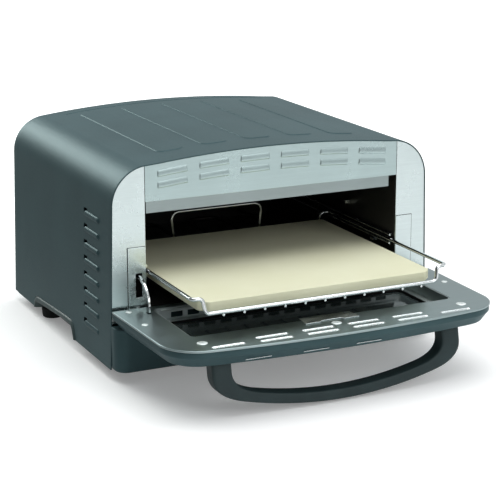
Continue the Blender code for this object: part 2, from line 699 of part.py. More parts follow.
def door_handle(door):
    """A D-shaped bow that stands off the outer face, leaning towards the door's free edge."""
    top = DOOR_OUTER - GAP
    low = 3.1 - HINGE_Z

    def bow(x, rise, curl):
        return low + rise + curl * x ** 2

    def half(rise, curl, bend, leg, leg_low):
        floor = [(bend * i / 6, bow(bend * i / 6, rise, curl)) for i in range(7)]
        knee = (leg, bow(bend, rise, curl) + 2 * curl * bend * (leg - bend))
        start, end = floor[-1], (leg, leg_low - HINGE_Z)
        curve = [tuple(a * (1 - t) ** 2 + b * 2 * t * (1 - t) + c * t ** 2 for a, b, c in zip(start, knee, end))
                 for t in (i / 6 for i in range(1, 7))]
        return floor + curve + [(leg, top)]

    outer = half(0, 0.0009, 135, 174, 52)
    inner = half(13.4, 0.00095, 112, 146, 56)
    outline = [(-x, z) for x, z in reversed(outer[1:])] + outer
    outline += list(reversed(inner)) + [(-x, z) for x, z in inner[1:]]
    handle = plate("door_handle", door, PLASTIC, [outline], HANDLE_DEPTH)
    stand = Matrix.Rotation(math.pi / 2, 4, "X")
    lean = Matrix.Identity(4)
    lean[1][2] = 0.2
    lift = Matrix.Translation((0, (HANDLE_Y - lean[1][2] * top) * MM, 0))
    handle.data.transform(lift @ lean @ stand)


def spiral(offset, start, end, steps):
    """Points on the arm's curve, which opens out from the door's leg to its tail. Angles in degrees."""
    angles = [start + (end - start) * i / steps for i in range(steps + 1)]
    return [((ARM_ROOT + ARM_GROWTH * (180 - a) + offset) * math.cos(math.radians(a)),
             (ARM_ROOT + ARM_GROWTH * (180 - a) + offset) * math.sin(math.radians(a))) for a in angles]


def hinge_leaf(name, door, side, swing):
    """The door's half of a hinge: an eye on the pin and a leg inside the door, which may end in a curved arm."""
    leg_low, eye = -4, 6.2
    outline = [(-ARM_ROOT - ARM_HALF, leg_low)] + swing
    outline += arc((0, 0), eye, 180 - math.degrees(math.asin(LEG_TOP / eye)),
                   -180 + math.degrees(math.asin(-leg_low / eye)), 10)
    plate(name, door, CHROME, [outline, circle(0, 0, PIN_R + GAP, 10)], 3, (side * ARM_X, 0, 0), FACING_SIDE)


def hinge_leaves(door):
    """The left leaf's arm enters the bezel's slot at its top with the door open and at its foot with it shut."""
    meet = math.degrees(math.asin(LEG_TOP / (ARM_ROOT - ARM_HALF + 2)))
    swing = spiral(ARM_HALF, 180, ARM_TAIL, 14) + spiral(-ARM_HALF, ARM_TAIL, 180 - meet, 12)
    hinge_leaf("hinge_arm", door, LEFT, swing)
    hinge_leaf("hinge_lug", door, RIGHT, [(-ARM_ROOT - ARM_HALF, LEG_TOP)])


# ---------------------------------------------------------------- rack and stone

def rack(carriage):
    """The wire rack as one welded piece, in coordinates from its front wire's centre."""
    rear = RACK_LENGTH
    corner = [(-RAIL_HALF, 4, RAIL_Z), (-FRONT_WIRE_HALF - 3, 3, RAIL_Z), (-FRONT_WIRE_HALF, 0, FRONT_WIRE_Z)]
    front = corner + [(-x, y, z) for x, y, z in reversed(corner)]
    back = [(x, rear - y, z) for x, y, z in reversed(front)]
    middle = (-RAIL_HALF, rear / 2, RAIL_Z)
    loop = rounded_path([middle] + front + back + [middle], 6, 3)[:-1]
    frame = place("rack", rod("rack", loop, RACK_WIRE_R, 2, True), carriage, CHROME)
    joined = []

    def weld(name, points, radius):
        joined.append(as_cutter(place(name, rod(name, points, radius), carriage, CHROME)))

    slat_z = FRONT_WIRE_Z - RACK_WIRE_R - SLAT_R + 0.8
    for i in range(SLATS):
        x = (i - (SLATS - 1) / 2) * SLAT_PITCH
        weld(f"join_slat_{i}", [(x, -2.2, slat_z), (x, rear + 2.2, slat_z)], SLAT_R)
    under = slat_z - SLAT_R - 2.2 + 0.9
    reach = (SLATS - 1) / 2 * SLAT_PITCH + 3
    for i, y in enumerate((95.5, 230.5)):
        weld(f"join_cross_{i}", [(-reach, y, under), (reach, y, under)], 2.2)
    stop = [(-66, rear + 0.4, FRONT_WIRE_Z + 1), (-71, rear + 0.4, 164), (71, rear + 0.4, 164),
            (66, rear + 0.4, FRONT_WIRE_Z + 1)]
    weld("join_stop", rounded_path(stop, 14), 2.2)
    boolean(frame, joined, "UNION")
    return slat_z + SLAT_R + GAP


def stone(carriage, bottom):
    box("stone", carriage, CORDIERITE, (-STONE_HALF, STONE_HALF), (11, RACK_LENGTH - 9),
        (bottom, bottom + STONE_THICKNESS), 2.5)


# ---------------------------------------------------------------- assembly

def build():
    oven = empty("oven_frame", (0, BEZEL_Y, 0))
    outer_casing(oven)
    rear_cover(oven)
    cord_gland(oven)
    bezel(oven)
    base_front(oven)
    cavity(oven)
    element(oven, "upper_element", UPPER_ELEMENT_Z)
    element(oven, "lower_element", LOWER_ELEMENT_Z)
    thermostat_bulb(oven)
    base(oven)
    for side, word in SIDES:
        side_grip(oven, side, word)
        rack_guide(oven, side, word)
        hinge_mount(oven, side, word)
    knob("temperature_knob", oven, -KNOB_X)
    knob("timer_knob", oven, KNOB_X)

    door = empty("door_axis", (0, HINGE_Y, HINGE_Z), oven)
    door_frame(door)
    window_frame(door)
    door_glass(door)
    door_shell(door)
    glass_clip(door)
    door_handle(door)
    door_screws(door)
    hinge_leaves(door)

    carriage = empty("rack_front", (0, RACK_FRONT, 0), oven)
    stone(carriage, rack(carriage))


build()
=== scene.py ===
"""Looks of the countertop pizza oven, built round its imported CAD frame.

Shapes are made in millimetres in the bezel's coordinates (Y zero on its front face) or, for the door, in
coordinates from its hinge axis, and become metres when a piece is placed.
"""

import math

import bmesh
import bpy
from mathutils import Matrix, Vector


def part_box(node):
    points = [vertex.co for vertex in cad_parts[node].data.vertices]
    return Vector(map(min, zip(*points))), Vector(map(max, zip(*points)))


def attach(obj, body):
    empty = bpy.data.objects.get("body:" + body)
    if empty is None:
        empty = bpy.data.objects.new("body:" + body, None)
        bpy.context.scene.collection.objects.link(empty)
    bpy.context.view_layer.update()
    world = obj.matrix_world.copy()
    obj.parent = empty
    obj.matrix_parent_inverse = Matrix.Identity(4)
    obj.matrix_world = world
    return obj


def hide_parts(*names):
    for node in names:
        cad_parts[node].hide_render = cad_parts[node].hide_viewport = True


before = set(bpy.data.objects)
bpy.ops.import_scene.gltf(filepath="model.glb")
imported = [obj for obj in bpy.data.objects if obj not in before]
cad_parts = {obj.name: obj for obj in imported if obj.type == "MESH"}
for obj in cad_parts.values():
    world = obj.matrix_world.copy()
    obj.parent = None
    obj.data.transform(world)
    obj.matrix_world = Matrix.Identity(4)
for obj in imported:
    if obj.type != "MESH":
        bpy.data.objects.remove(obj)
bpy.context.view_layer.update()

# ---------------------------------------------------------------- where things are

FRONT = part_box("louvre_panel")[0][1]
SCALE = Matrix.Scale(0.001, 4)
OVEN = Matrix.Translation((0, FRONT, 0)) @ SCALE
HINGE_Y, HINGE_Z, HINGE_BORE = -10.0, 87.0, 2.8
DOOR = Matrix.Translation((0, FRONT + HINGE_Y / 1000, HINGE_Z / 1000)) @ SCALE
RACK_Y = -139.5
RACK = Matrix.Translation((0, FRONT + RACK_Y / 1000, 0)) @ SCALE

HALF_WIDTH, BOTTOM, TOP = 235.0, 15.0, 290.0
DRAFT, CORNER_R, CROWN_R = 0.0268, 52.0, 1500.0
CASING_FRONT, CASING_BACK, BACK = -1.0, 382.0, 402.0
LEFT = -1
SIDES = ((LEFT, "left"), (1, "right"))


# ---------------------------------------------------------------- materials

def nodes_of(name):
    made = bpy.data.materials.new(name)
    made.use_nodes = True
    tree = made.node_tree
    return made, tree, tree.nodes["Principled BSDF"]


def grain(tree, scale, stretch=(1, 1, 1), detail=4.0, roughness=0.55):
    """Noise in the object's own coordinates, drawn out along the axes with small stretch."""
    coordinates = tree.nodes.new("ShaderNodeTexCoord")
    mapping = tree.nodes.new("ShaderNodeMapping")
    mapping.inputs["Scale"].default_value = stretch
    noise = tree.nodes.new("ShaderNodeTexNoise")
    noise.inputs["Scale"].default_value = scale
    noise.inputs["Detail"].default_value = detail
    noise.inputs["Roughness"].default_value = roughness
    tree.links.new(coordinates.outputs["Object"], mapping.inputs["Vector"])
    tree.links.new(mapping.outputs["Vector"], noise.inputs["Vector"])
    return noise.outputs["Fac"]


def ramp(tree, factor, stops):
    made = tree.nodes.new("ShaderNodeValToRGB")
    elements = made.color_ramp.elements
    while len(elements) < len(stops):
        elements.new(0.5)
    for element, (position, colour) in zip(elements, stops):
        element.position = position
        element.color = (*colour, 1.0)
    tree.links.new(factor, made.inputs["Fac"])
    return made.outputs["Color"]


def spread(tree, factor, low, high, start=0.3, end=0.7):
    made = tree.nodes.new("ShaderNodeMapRange")
    made.inputs["From Min"].default_value = start
    made.inputs["From Max"].default_value = end
    made.inputs["To Min"].default_value = low
    made.inputs["To Max"].default_value = high
    tree.links.new(factor, made.inputs["Value"])
    return made.outputs["Result"]


def mixed(tree, first, second, share):
    made = tree.nodes.new("ShaderNodeMix")
    made.data_type = "RGBA"
    made.inputs["Factor"].default_value = share
    tree.links.new(first, made.inputs["A"])
    tree.links.new(second, made.inputs["B"])
    return made.outputs["Result"]


def calculated(tree, operation, *values):
    made = tree.nodes.new("ShaderNodeMath")
    made.operation = operation
    for value, socket in zip(values, made.inputs):
        tree.links.new(value, socket)
    return made.outputs[0]


def bump(tree, shader, height, strength, distance):
    made = tree.nodes.new("ShaderNodeBump")
    made.inputs["Strength"].default_value = strength
    made.inputs["Distance"].default_value = distance
    tree.links.new(height, made.inputs["Height"])
    tree.links.new(made.outputs["Normal"], shader.inputs["Normal"])


def shades(tree, factor, colour, low, high, start=0.3, end=0.7):
    """One colour that runs from a darker to a lighter shade of itself."""
    stops = ((start, low), (end, high))
    return ramp(tree, factor, [(at, tuple(c * share for c in colour)) for at, share in stops])


def dress(tree, shader, inputs):
    """Fills a shader's inputs: a socket is linked, a number or colour is set."""
    for name, value in inputs.items():
        if isinstance(value, bpy.types.NodeSocket):
            tree.links.new(value, shader.inputs[name])
        else:
            shader.inputs[name].default_value = value


def powder_coat(name, colour, roughness, metallic):
    """Satin coating: fine peel, soft cloudiness, slightly uneven sheen."""
    made, tree, shader = nodes_of(name)
    fine = grain(tree, 1400.0, detail=2.0)
    cloud = grain(tree, 9.0, detail=5.0)
    dress(tree, shader, {"Base Color": shades(tree, cloud, colour, 0.90, 1.10),
                         "Roughness": spread(tree, fine, roughness - 0.05, roughness + 0.07),
                         "Metallic": metallic, "Specular IOR Level": 0.22,
                         "Specular Tint": (0.70, 0.96, 1.0, 1)})
    bump(tree, shader, fine, 0.10, 0.0004)
    return made


def brushed(name, colour, roughness):
    """Sheet steel with hairline brushing along X and faint handling marks."""
    made, tree, shader = nodes_of(name)
    along_x = (0.02, 1, 1)
    hair = grain(tree, 2600.0, along_x, detail=3.0, roughness=0.7)
    bands = grain(tree, 240.0, along_x, detail=4.0)
    marks = grain(tree, 14.0, detail=6.0, roughness=0.6)
    hairs = shades(tree, hair, colour, 0.90, 1.10, 0.25, 0.75)
    banded = shades(tree, bands, colour, 0.95, 1.05)
    dress(tree, shader, {"Base Color": mixed(tree, hairs, banded, 0.5),
                         "Roughness": spread(tree, marks, roughness - 0.05, roughness + 0.06),
                         "Metallic": 1.0, "Anisotropic": 0.4})
    bump(tree, shader, hair, 0.06, 0.0002)
    return made


def plated(name, colour, roughness, spots=0.05):
    """Bright plated wire or fittings, with small cloudy spots."""
    made, tree, shader = nodes_of(name)
    cloud = grain(tree, 90.0, detail=5.0)
    dress(tree, shader, {"Base Color": shades(tree, cloud, colour, 0.86, 1.0, 0.35, 0.65),
                         "Roughness": spread(tree, cloud, roughness, roughness + spots), "Metallic": 1.0})
    bump(tree, shader, grain(tree, 700.0, detail=2.0), 0.04, 0.0002)
    return made


def moulded(name, colour, roughness, texture=900.0, depth=0.16):
    """Moulded plastic or rubber with a fine etched skin."""
    made, tree, shader = nodes_of(name)
    skin = grain(tree, texture, detail=3.0)
    cloud = grain(tree, 24.0, detail=4.0)
    dress(tree, shader, {"Base Color": shades(tree, cloud, colour, 0.85, 1.15),
                         "Roughness": spread(tree, skin, roughness - 0.05, roughness + 0.08),
                         "Specular IOR Level": 0.25})
    bump(tree, shader, skin, depth, 0.0003)
    return made


def fired_stone(name):
    """Pressed cordierite: matt cream with sandy grain, pinholes and faint browning."""
    made, tree, shader = nodes_of(name)
    sand = grain(tree, 900.0, detail=6.0, roughness=0.7)
    patch = grain(tree, 14.0, detail=5.0)
    coordinates = tree.nodes.new("ShaderNodeTexCoord")
    pits = tree.nodes.new("ShaderNodeTexVoronoi")
    pits.inputs["Scale"].default_value = 420.0
    tree.links.new(coordinates.outputs["Object"], pits.inputs["Vector"])
    grains = ramp(tree, sand, [(0.25, (0.66, 0.655, 0.46)), (0.5, (0.78, 0.775, 0.56)),
                               (0.8, (0.83, 0.83, 0.63))])
    patches = ramp(tree, patch, [(0.3, (0.76, 0.75, 0.53)), (0.7, (0.82, 0.815, 0.61))])
    dress(tree, shader, {"Base Color": mixed(tree, grains, patches, 0.6), "Roughness": 0.88})
    depth = calculated(tree, "ADD", spread(tree, pits.outputs["Distance"], 0.0, 1.0, 0.0, 0.25), sand)
    bump(tree, shader, depth, 0.22, 0.0005)
    return made


def enamel(name, colour, roughness):
    """Dark oven lining with a faint mottled glaze."""
    made, tree, shader = nodes_of(name)
    cloud = grain(tree, 22.0, detail=6.0)
    dress(tree, shader, {"Base Color": shades(tree, cloud, colour, 0.7, 1.5, 0.3, 0.75),
                         "Roughness": spread(tree, cloud, roughness - 0.08, roughness + 0.10)})
    bump(tree, shader, grain(tree, 1500.0, detail=2.0), 0.12, 0.0003)
    return made


def tempered(name):
    """Door glass: thin, slightly smoked, with faint film."""
    made, tree, shader = nodes_of(name)
    film = grain(tree, 30.0, detail=5.0)
    smoke = ramp(tree, film, [(0.3, (0.060, 0.080, 0.081)), (0.7, (0.082, 0.102, 0.103))])
    dress(tree, shader, {"Base Color": smoke, "Roughness": spread(tree, film, 0.04, 0.10), "Alpha": 0.86,
                         "IOR": 1.5})
    bump(tree, shader, film, 0.02, 0.0005)
    return made


def fibre(name):
    """Loose wool with a felted grain."""
    made, tree, shader = nodes_of(name)
    threads = grain(tree, 420.0, (1, 0.3, 1), detail=6.0, roughness=0.75)
    wool = ramp(tree, threads, [(0.3, (0.60, 0.57, 0.50)), (0.7, (0.86, 0.84, 0.78))])
    dress(tree, shader, {"Base Color": wool, "Roughness": 0.95})
    bump(tree, shader, threads, 0.5, 0.001)
    return made


PAINT = powder_coat("paint", (0.043, 0.078, 0.085), 0.44, 0.14)
PAINT_DARK = powder_coat("paint_dark", (0.028, 0.045, 0.050), 0.5, 0.1)
STEEL = brushed("bezel_steel", (0.63, 0.71, 0.71), 0.28)
# Painted shade: the vent panel gets a darker copy of the bezel's steel, standing in for the shade it shows.
SHADED_PANEL_STEEL = brushed("shaded_panel_steel", (0.43, 0.53, 0.53), 0.30)
DOOR_STEEL = brushed("door_steel", (0.30, 0.37, 0.375), 0.33)
WELL_STEEL = brushed("well_steel", (0.50, 0.56, 0.56), 0.42)
BRIGHT_STEEL = brushed("bright_steel", (0.78, 0.83, 0.83), 0.24)
FLANGE_STEEL = brushed("flange_steel", (0.30, 0.35, 0.35), 0.34)
CHROME = plated("chrome", (0.80, 0.83, 0.83), 0.10)
HEAD_STEEL = plated("head_steel", (0.90, 0.95, 0.94), 0.52)
CAVITY = enamel("cavity_lining", (0.016, 0.016, 0.015), 0.42)
SHEATH = plated("element_sheath", (0.07, 0.068, 0.065), 0.45, 0.15)
HANDLE = moulded("handle_plastic", (0.024, 0.040, 0.042), 0.42)
PLASTIC = moulded("dark_moulding", (0.020, 0.030, 0.031), 0.45)
LIP = moulded("grip_moulding", (0.058, 0.086, 0.086), 0.40)
RUBBER = moulded("rubber", (0.012, 0.013, 0.013), 0.75, 500.0, 0.3)
STONE = fired_stone("cordierite")
GLASS = tempered("tempered_glass")
WOOL = fibre("mineral_wool")
AMBER = moulded("amber_lens", (0.55, 0.16, 0.03), 0.18, 400.0, 0.03)
INK = moulded("dial_ink", (0.70, 0.74, 0.74), 0.5, 600.0, 0.02)


# ---------------------------------------------------------------- pieces

def place(name, mesh, where, material, body, replaced=(), smooth=32.0):
    """Makes a piece from a mesh in millimetres and hands it to its body. Flat faces are shaded flat."""
    mesh.name = name
    mesh.transform(where)
    if smooth:
        mesh.shade_smooth()
        mesh.set_sharp_from_angle(angle=math.radians(smooth))
    made = bpy.data.objects.new(name, mesh)
    bpy.context.scene.collection.objects.link(made)
    mesh.materials.clear()
    mesh.materials.append(material)
    if smooth:
        made.modifiers.new("flat_faces_stay_flat", "WEIGHTED_NORMAL").keep_sharp = True
    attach(made, body)
    if replaced:
        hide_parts(*replaced)
    return made


def on_oven(name, mesh, material, replaced=(), smooth=32.0):
    return place(name, mesh, OVEN, material, "oven_body", replaced, smooth)


def on_door(name, mesh, material, replaced=(), smooth=32.0):
    return place(name, mesh, DOOR, material, "door", replaced, smooth)


def finish_node(node, material):
    """A CAD node whose shape is right takes a better material."""
    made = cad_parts[node]
    made.data.materials.clear()
    made.data.materials.append(material)


def to_mesh(bm, weld=0.0005):
    bmesh.ops.remove_doubles(bm, verts=bm.verts, dist=weld)
    bmesh.ops.recalc_face_normals(bm, faces=bm.faces)
    mesh = bpy.data.meshes.new("made")
    bm.to_mesh(mesh)
    bm.free()
    return mesh


def evaluated(obj):
    """The final mesh of a scratch object, which is then removed."""
    graph = bpy.context.evaluated_depsgraph_get()
    mesh = bpy.data.meshes.new_from_object(obj.evaluated_get(graph))
    bpy.data.objects.remove(obj, do_unlink=True)
    return mesh


def scratch(data):
    made = bpy.data.objects.new("scratch", data)
    bpy.context.scene.collection.objects.link(made)
    return made


def welded(mesh, weld=0.002):
    bm = bmesh.new()
    bm.from_mesh(mesh)
    return to_mesh(bm, weld)


def sheet(outlines, thickness, round_r=0.3, low=0.0):
    """A flat plate with rounded edges: first outline outside, the others holes. It lies from low upwards."""
    curve = bpy.data.curves.new("sheet", "CURVE")
    curve.dimensions = "2D"
    curve.fill_mode = "BOTH"
    round_r = min(round_r, thickness / 2 - 0.02)
    curve.extrude = thickness / 2 - round_r
    curve.bevel_depth = round_r
    curve.bevel_resolution = 2
    curve.offset = -round_r
    for outline in outlines:
        spline = curve.splines.new("POLY")
        spline.points.add(len(outline) - 1)
        for point, (x, y) in zip(spline.points, outline):
            point.co = (x, y, 0, 1)
        spline.use_cyclic_u = True
    mesh = welded(evaluated(scratch(curve)))
    mesh.transform(Matrix.Translation((0, 0, low + thickness / 2)))
    return mesh


def tube(paths, radius, sides=5, closed=False):
    """Round wires along lists of points, in one mesh."""
    curve = bpy.data.curves.new("tube", "CURVE")
    curve.dimensions = "3D"
    curve.bevel_depth = radius
    curve.bevel_resolution = sides
    curve.use_fill_caps = True
    for points in paths:
        spline = curve.splines.new("POLY")
        spline.points.add(len(points) - 1)
        for point, where in zip(spline.points, points):
            point.co = (*where, 1)
        spline.use_cyclic_u = closed
    return welded(evaluated(scratch(curve)))


def lathe(profile, steps=48, scallops=0, depth=0.0):
    """A solid of revolution about Z from (radius, height) points. Scallops ripple the widest part."""
    bm = bmesh.new()
    widest = max(r for r, _ in profile)
    rings = []
    for radius, height in profile:
        if radius < 0.001:
            rings.append([bm.verts.new((0, 0, height))])
            continue
        ring = []
        for i in range(steps):
            a = 2 * math.pi * i / steps
            ripple = depth * (0.5 - 0.5 * math.cos(scallops * a)) if scallops and radius > widest - 3 else 0
            r = radius - ripple
            ring.append(bm.verts.new((r * math.cos(a), r * math.sin(a), height)))
        rings.append(ring)
    for upper, lower in zip(rings, rings[1:]):
        for i in range(steps):
            j = (i + 1) % steps
            corners = [ring[k % len(ring)] for ring, k in ((upper, i), (upper, j), (lower, j), (lower, i))]
            unique = list(dict.fromkeys(corners))
            if len(unique) > 2:
                bm.faces.new(unique)
    return to_mesh(bm)


def joined(meshes):
    bm = bmesh.new()
    for mesh in meshes:
        bm.from_mesh(mesh)
    made = bpy.data.meshes.new("joined")
    bm.to_mesh(made)
    bm.free()
    return made


def moved(mesh, x=0.0, y=0.0, z=0.0):
    mesh.transform(Matrix.Translation((x, y, z)))
    return mesh


def turned(mesh, axis, degrees):
    mesh.transform(Matrix.Rotation(math.radians(degrees), 4, axis))
    return mesh


def facing_front(mesh):
    """Flat work drawn in X and Y stands up in X and Z, and its upper face looks towards -Y."""
    return turned(mesh, "X", 90)


def facing_side(mesh):
    """Flat work drawn in X and Y stands up in Y and Z."""
    return turned(turned(mesh, "X", 90), "Z", 90)


def loft(rings, closed=True, cap_start=False, cap_end=False):
    bm = bmesh.new()
    made = [[bm.verts.new(p) for p in ring] for ring in rings]
    count = len(made[0])
    for near, far in zip(made, made[1:]):
        for i in range(count if closed else count - 1):
            j = (i + 1) % count
            bm.faces.new((near[i], near[j], far[j], far[i]))
    if cap_start:
        bm.faces.new(made[0])
    if cap_end:
        bm.faces.new(made[-1])
    return to_mesh(bm)


def thicken(mesh, thickness, offset=-1.0, flip=False):
    if flip:
        mesh.flip_normals()
    obj = scratch(mesh)
    made = obj.modifiers.new("sheet", "SOLIDIFY")
    made.thickness = thickness
    made.offset = offset
    made.use_even_offset = True
    return evaluated(obj)


def cut(mesh, cutters):
    """The mesh less the cutters."""
    obj = scratch(mesh)
    tool = scratch(joined(cutters))
    made = obj.modifiers.new("cut", "BOOLEAN")
    made.operation = "DIFFERENCE"
    made.solver = "EXACT"
    made.object = tool
    result = evaluated(obj)
    bpy.data.objects.remove(tool, do_unlink=True)
    return result


def block(x, y, z, bevel=0.0):
    bm = bmesh.new()
    bmesh.ops.create_cube(bm, size=1.0)
    for vert in bm.verts:
        vert.co = [(low + high) / 2 + c * (high - low) for c, (low, high) in zip(vert.co, (x, y, z))]
    if bevel:
        bmesh.ops.bevel(bm, geom=bm.edges, offset=bevel, segments=3, profile=0.5, affect="EDGES")
    return to_mesh(bm)


# ---------------------------------------------------------------- outlines

def arc(centre, radius, start, end, steps):
    angles = [math.radians(start + (end - start) * i / steps) for i in range(steps + 1)]
    return [(centre[0] + radius * math.cos(a), centre[1] + radius * math.sin(a)) for a in angles]


def half_width(z):
    return HALF_WIDTH - DRAFT * (z - BOTTOM)


def corner_centre():
    lean = math.sqrt(1 + DRAFT ** 2)
    reach = CROWN_R - CORNER_R
    z = TOP - CORNER_R
    for _ in range(20):
        x = half_width(z) - CORNER_R * lean
        z = TOP - CROWN_R + math.sqrt(reach ** 2 - x ** 2)
    return x, z


def arch(inset, low, steps=20, crown_xs=None):
    """The front outline moved in by inset, from the left foot at height low over to the right foot."""
    x, z = corner_centre()
    crown_centre = TOP - CROWN_R
    side_angle = math.degrees(math.atan(DRAFT))
    crown_angle = math.degrees(math.atan2(z - crown_centre, x))
    foot = (half_width(low) - inset * math.sqrt(1 + DRAFT ** 2), low)
    corner = arc((x, z), CORNER_R - inset, side_angle, crown_angle, steps)
    if crown_xs is None:
        crown = arc((0, crown_centre), CROWN_R - inset, crown_angle, 90, steps)[1:]
    else:
        crown = [(cx, crown_height(cx, inset)) for cx in crown_xs if 0 <= cx < corner[-1][0] - 0.5]
        crown.sort(reverse=True)
    right = [foot] + corner + crown
    left = [(-px, pz) for px, pz in right if px > 0.001]
    return left + right[::-1]


def crown_height(x, inset):
    return TOP - CROWN_R + math.sqrt((CROWN_R - inset) ** 2 - x ** 2)


def rectangle(x, y, radius=0.0, steps=6):
    if not radius:
        return [(x[0], y[0]), (x[1], y[0]), (x[1], y[1]), (x[0], y[1])]
    centres = [(x[1] - radius, y[1] - radius), (x[0] + radius, y[1] - radius),
               (x[0] + radius, y[0] + radius), (x[1] - radius, y[0] + radius)]
    return [p for i, c in enumerate(centres) for p in arc(c, radius, 90 * i, 90 * i + 90, steps)]


def circle(x, y, radius, sides=32):
    return arc((x, y), radius, 0, 360, sides)[:-1]


def capsule(x, y, length, height, steps=8):
    return rectangle((x - length / 2, x + length / 2), (y - height / 2, y + height / 2),
                     height / 2 - 0.01, steps)


def mirrored(outline, side):
    return [(side * x, y) for x, y in outline]


def bent(points, radius, steps=8):
    """A path whose inner corners are rounded."""
    points = [Vector(p) for p in points]
    path = [points[0]]
    for before, corner, after in zip(points, points[1:], points[2:]):
        reach_in = min(radius, (before - corner).length / 2)
        reach_out = min(radius, (after - corner).length / 2)
        start = corner + (before - corner).normalized() * reach_in
        end = corner + (after - corner).normalized() * reach_out
        for i in range(steps + 1):
            t = i / steps
            path.append(start * (1 - t) ** 2 + corner * 2 * t * (1 - t) + end * t ** 2)
    path.append(points[-1])
    return path


def smoothstep(value):
    value = min(1.0, max(0.0, value))
    return value * value * (3 - 2 * value)


# ---------------------------------------------------------------- casing

GLAND = (-150, BACK, 50)
STRIP_XS = (-126.0, -63.0, 0.0, 63.0, 126.0)
STRIP_HALF, STRIP_END_R, STRIP_RISE = 18.5, 9.0, 1.0
STRIP_Y = (48.0, 346.0)
RIM_Y, RIM_HALF, RIM_DEPTH = 363.0, 158.0, 1.1
SHEET = 1.2
LOUVRE_Y = (42, 95)
GRIP_Y = (130, 308)
GRIP_FLOOR = BOTTOM + 0.3
COVER_DROP = 3.0


def strip_mask(x, y):
    """One on a raised strip of the top, zero off it, with a short slope between."""
    best = 0.0
    middle, reach = (STRIP_Y[0] + STRIP_Y[1]) / 2, (STRIP_Y[1] - STRIP_Y[0]) / 2
    for centre in STRIP_XS:
        dx = abs(x - centre) - (STRIP_HALF - STRIP_END_R)
        dy = abs(y - middle) - (reach - STRIP_END_R)
        outside = math.hypot(max(dx, 0), max(dy, 0)) + min(max(dx, dy), 0) - STRIP_END_R
        best = max(best, smoothstep(0.5 - outside / 1.6))
    return best


def rim_mask(x, y):
    """One in the shallow channel that runs across the back of the top."""
    across = smoothstep(1.6 - abs(y - RIM_Y) / 1.5)
    return across * smoothstep((RIM_HALF - abs(x)) / 4 + 0.5)


def top_stations():
    xs = set()
    for centre in STRIP_XS:
        for side, _ in SIDES:
            edge = centre + side * STRIP_HALF
            xs.update(edge + side * d for d in (1.2, 0.6, 0.3, 0, -0.3, -0.6, -1.2, -2.5, -4, -5.5, -7, -9))
        xs.add(centre)
    xs.update((154, 156, 158, 160, 162))
    xs = {round(abs(x), 2) for x in xs}
    ys = {CASING_FRONT, CASING_FRONT + 0.3, CASING_FRONT + 1, 10, 25, CASING_BACK}
    for end, inward in ((STRIP_Y[0], 1), (STRIP_Y[1], -1)):
        ys.update(end + inward * d for d in (-1.5, -0.8, -0.4, 0, 0.4, 0.8, 1.5, 2.5, 4, 5.5, 7.5, 10))
    ys.update(range(70, 330, 26))
    ys.update(RIM_Y + d for d in (-3, -2.2, -1.5, -0.8, 0, 0.8, 1.5, 2.2, 3, 8))
    return sorted(xs), sorted(ys)


def casing():
    xs, ys = top_stations()
    outline = arch(0, BOTTOM, 28, xs)
    rings = []
    for y in ys:
        roll = 0.5 * (1 - smoothstep((y - CASING_FRONT) / 1.0))
        ring = []
        for x, z in outline:
            drop = 0.0
            if z > TOP - 30:
                blend = smoothstep((188 - abs(x)) / 14)
                drop = blend * STRIP_RISE * (1 - strip_mask(x, y)) + RIM_DEPTH * rim_mask(x, y)
            towards = Vector((-x, 150 - z)).normalized() * roll
            ring.append((x + towards[0], y, z - drop + towards[1]))
        rings.append(ring)
    shell = loft(rings, closed=False)
    top = max(shell.polygons, key=lambda p: p.center[2])
    shell = thicken(shell, SHEET, flip=top.normal[2] < 0)
    cutters = []
    for side, _ in SIDES:
        outer = sorted((side * (HALF_WIDTH - 15), side * (HALF_WIDTH + 10)))
        for z in louvre_heights():
            cutters.append(block(outer, (86, 99), (z + 0.5, z + 7.0), 1.2))
        notch = sheet([grip_outline(0)], 30, 0.05, -15)
        cutters.append(moved(facing_side(notch), x=side * (HALF_WIDTH - 3)))
    on_oven("casing_shell", cut(shell, cutters), PAINT, ("outer_casing",))


def louvre_heights():
    return [52.0 + 21.35 * i for i in range(8)]


def fullness(t):
    """How full a louvre's bar is at share t of its length: it rounds off at both ends."""
    rounded = 0.09
    if min(t, 1 - t) >= rounded:
        return 1.0
    return max(0.02, math.sqrt(max(0.0, 1 - (1 - min(t, 1 - t * 0.995) / rounded) ** 2)))


def side_louvres(side, word):
    """Pressed bars with a rounded front end and an open notch behind."""
    bars = []
    for z in louvre_heights():
        rise = min(2.6, HALF_WIDTH + 0.8 - half_width(z - 3))
        rings = []
        for i in range(25):
            t = i / 24
            along = LOUVRE_Y[0] + (LOUVRE_Y[1] - LOUVRE_Y[0]) * t
            end = fullness(t)
            ring = []
            for k in range(13):
                a = math.pi * k / 12
                height = z - 3.8 * math.cos(a) * end
                out = rise * math.sin(a) * end
                ring.append((side * (half_width(height) - 0.35 + out), along, height))
            rings.append(ring)
        bars.append(loft(rings, closed=True, cap_start=True, cap_end=True))
    on_oven(f"side_louvres_{word}", joined(bars), PAINT, (), 60)


def grip_outline(inset):
    """The finger recess from the side, moved in: high at its front, falling a little towards the back."""
    front, back, low = GRIP_Y[0] + inset, GRIP_Y[1] - inset, BOTTOM - 4
    points = bent([(front, low, 0), (front + 9, 40 - inset, 0), (front + 50, 39.5 - inset, 0),
                   (back - 3, 33 - inset, 0), (back, low, 0)], max(6.0, 17 - inset), 8)
    return [(p[0], p[1]) for p in points]


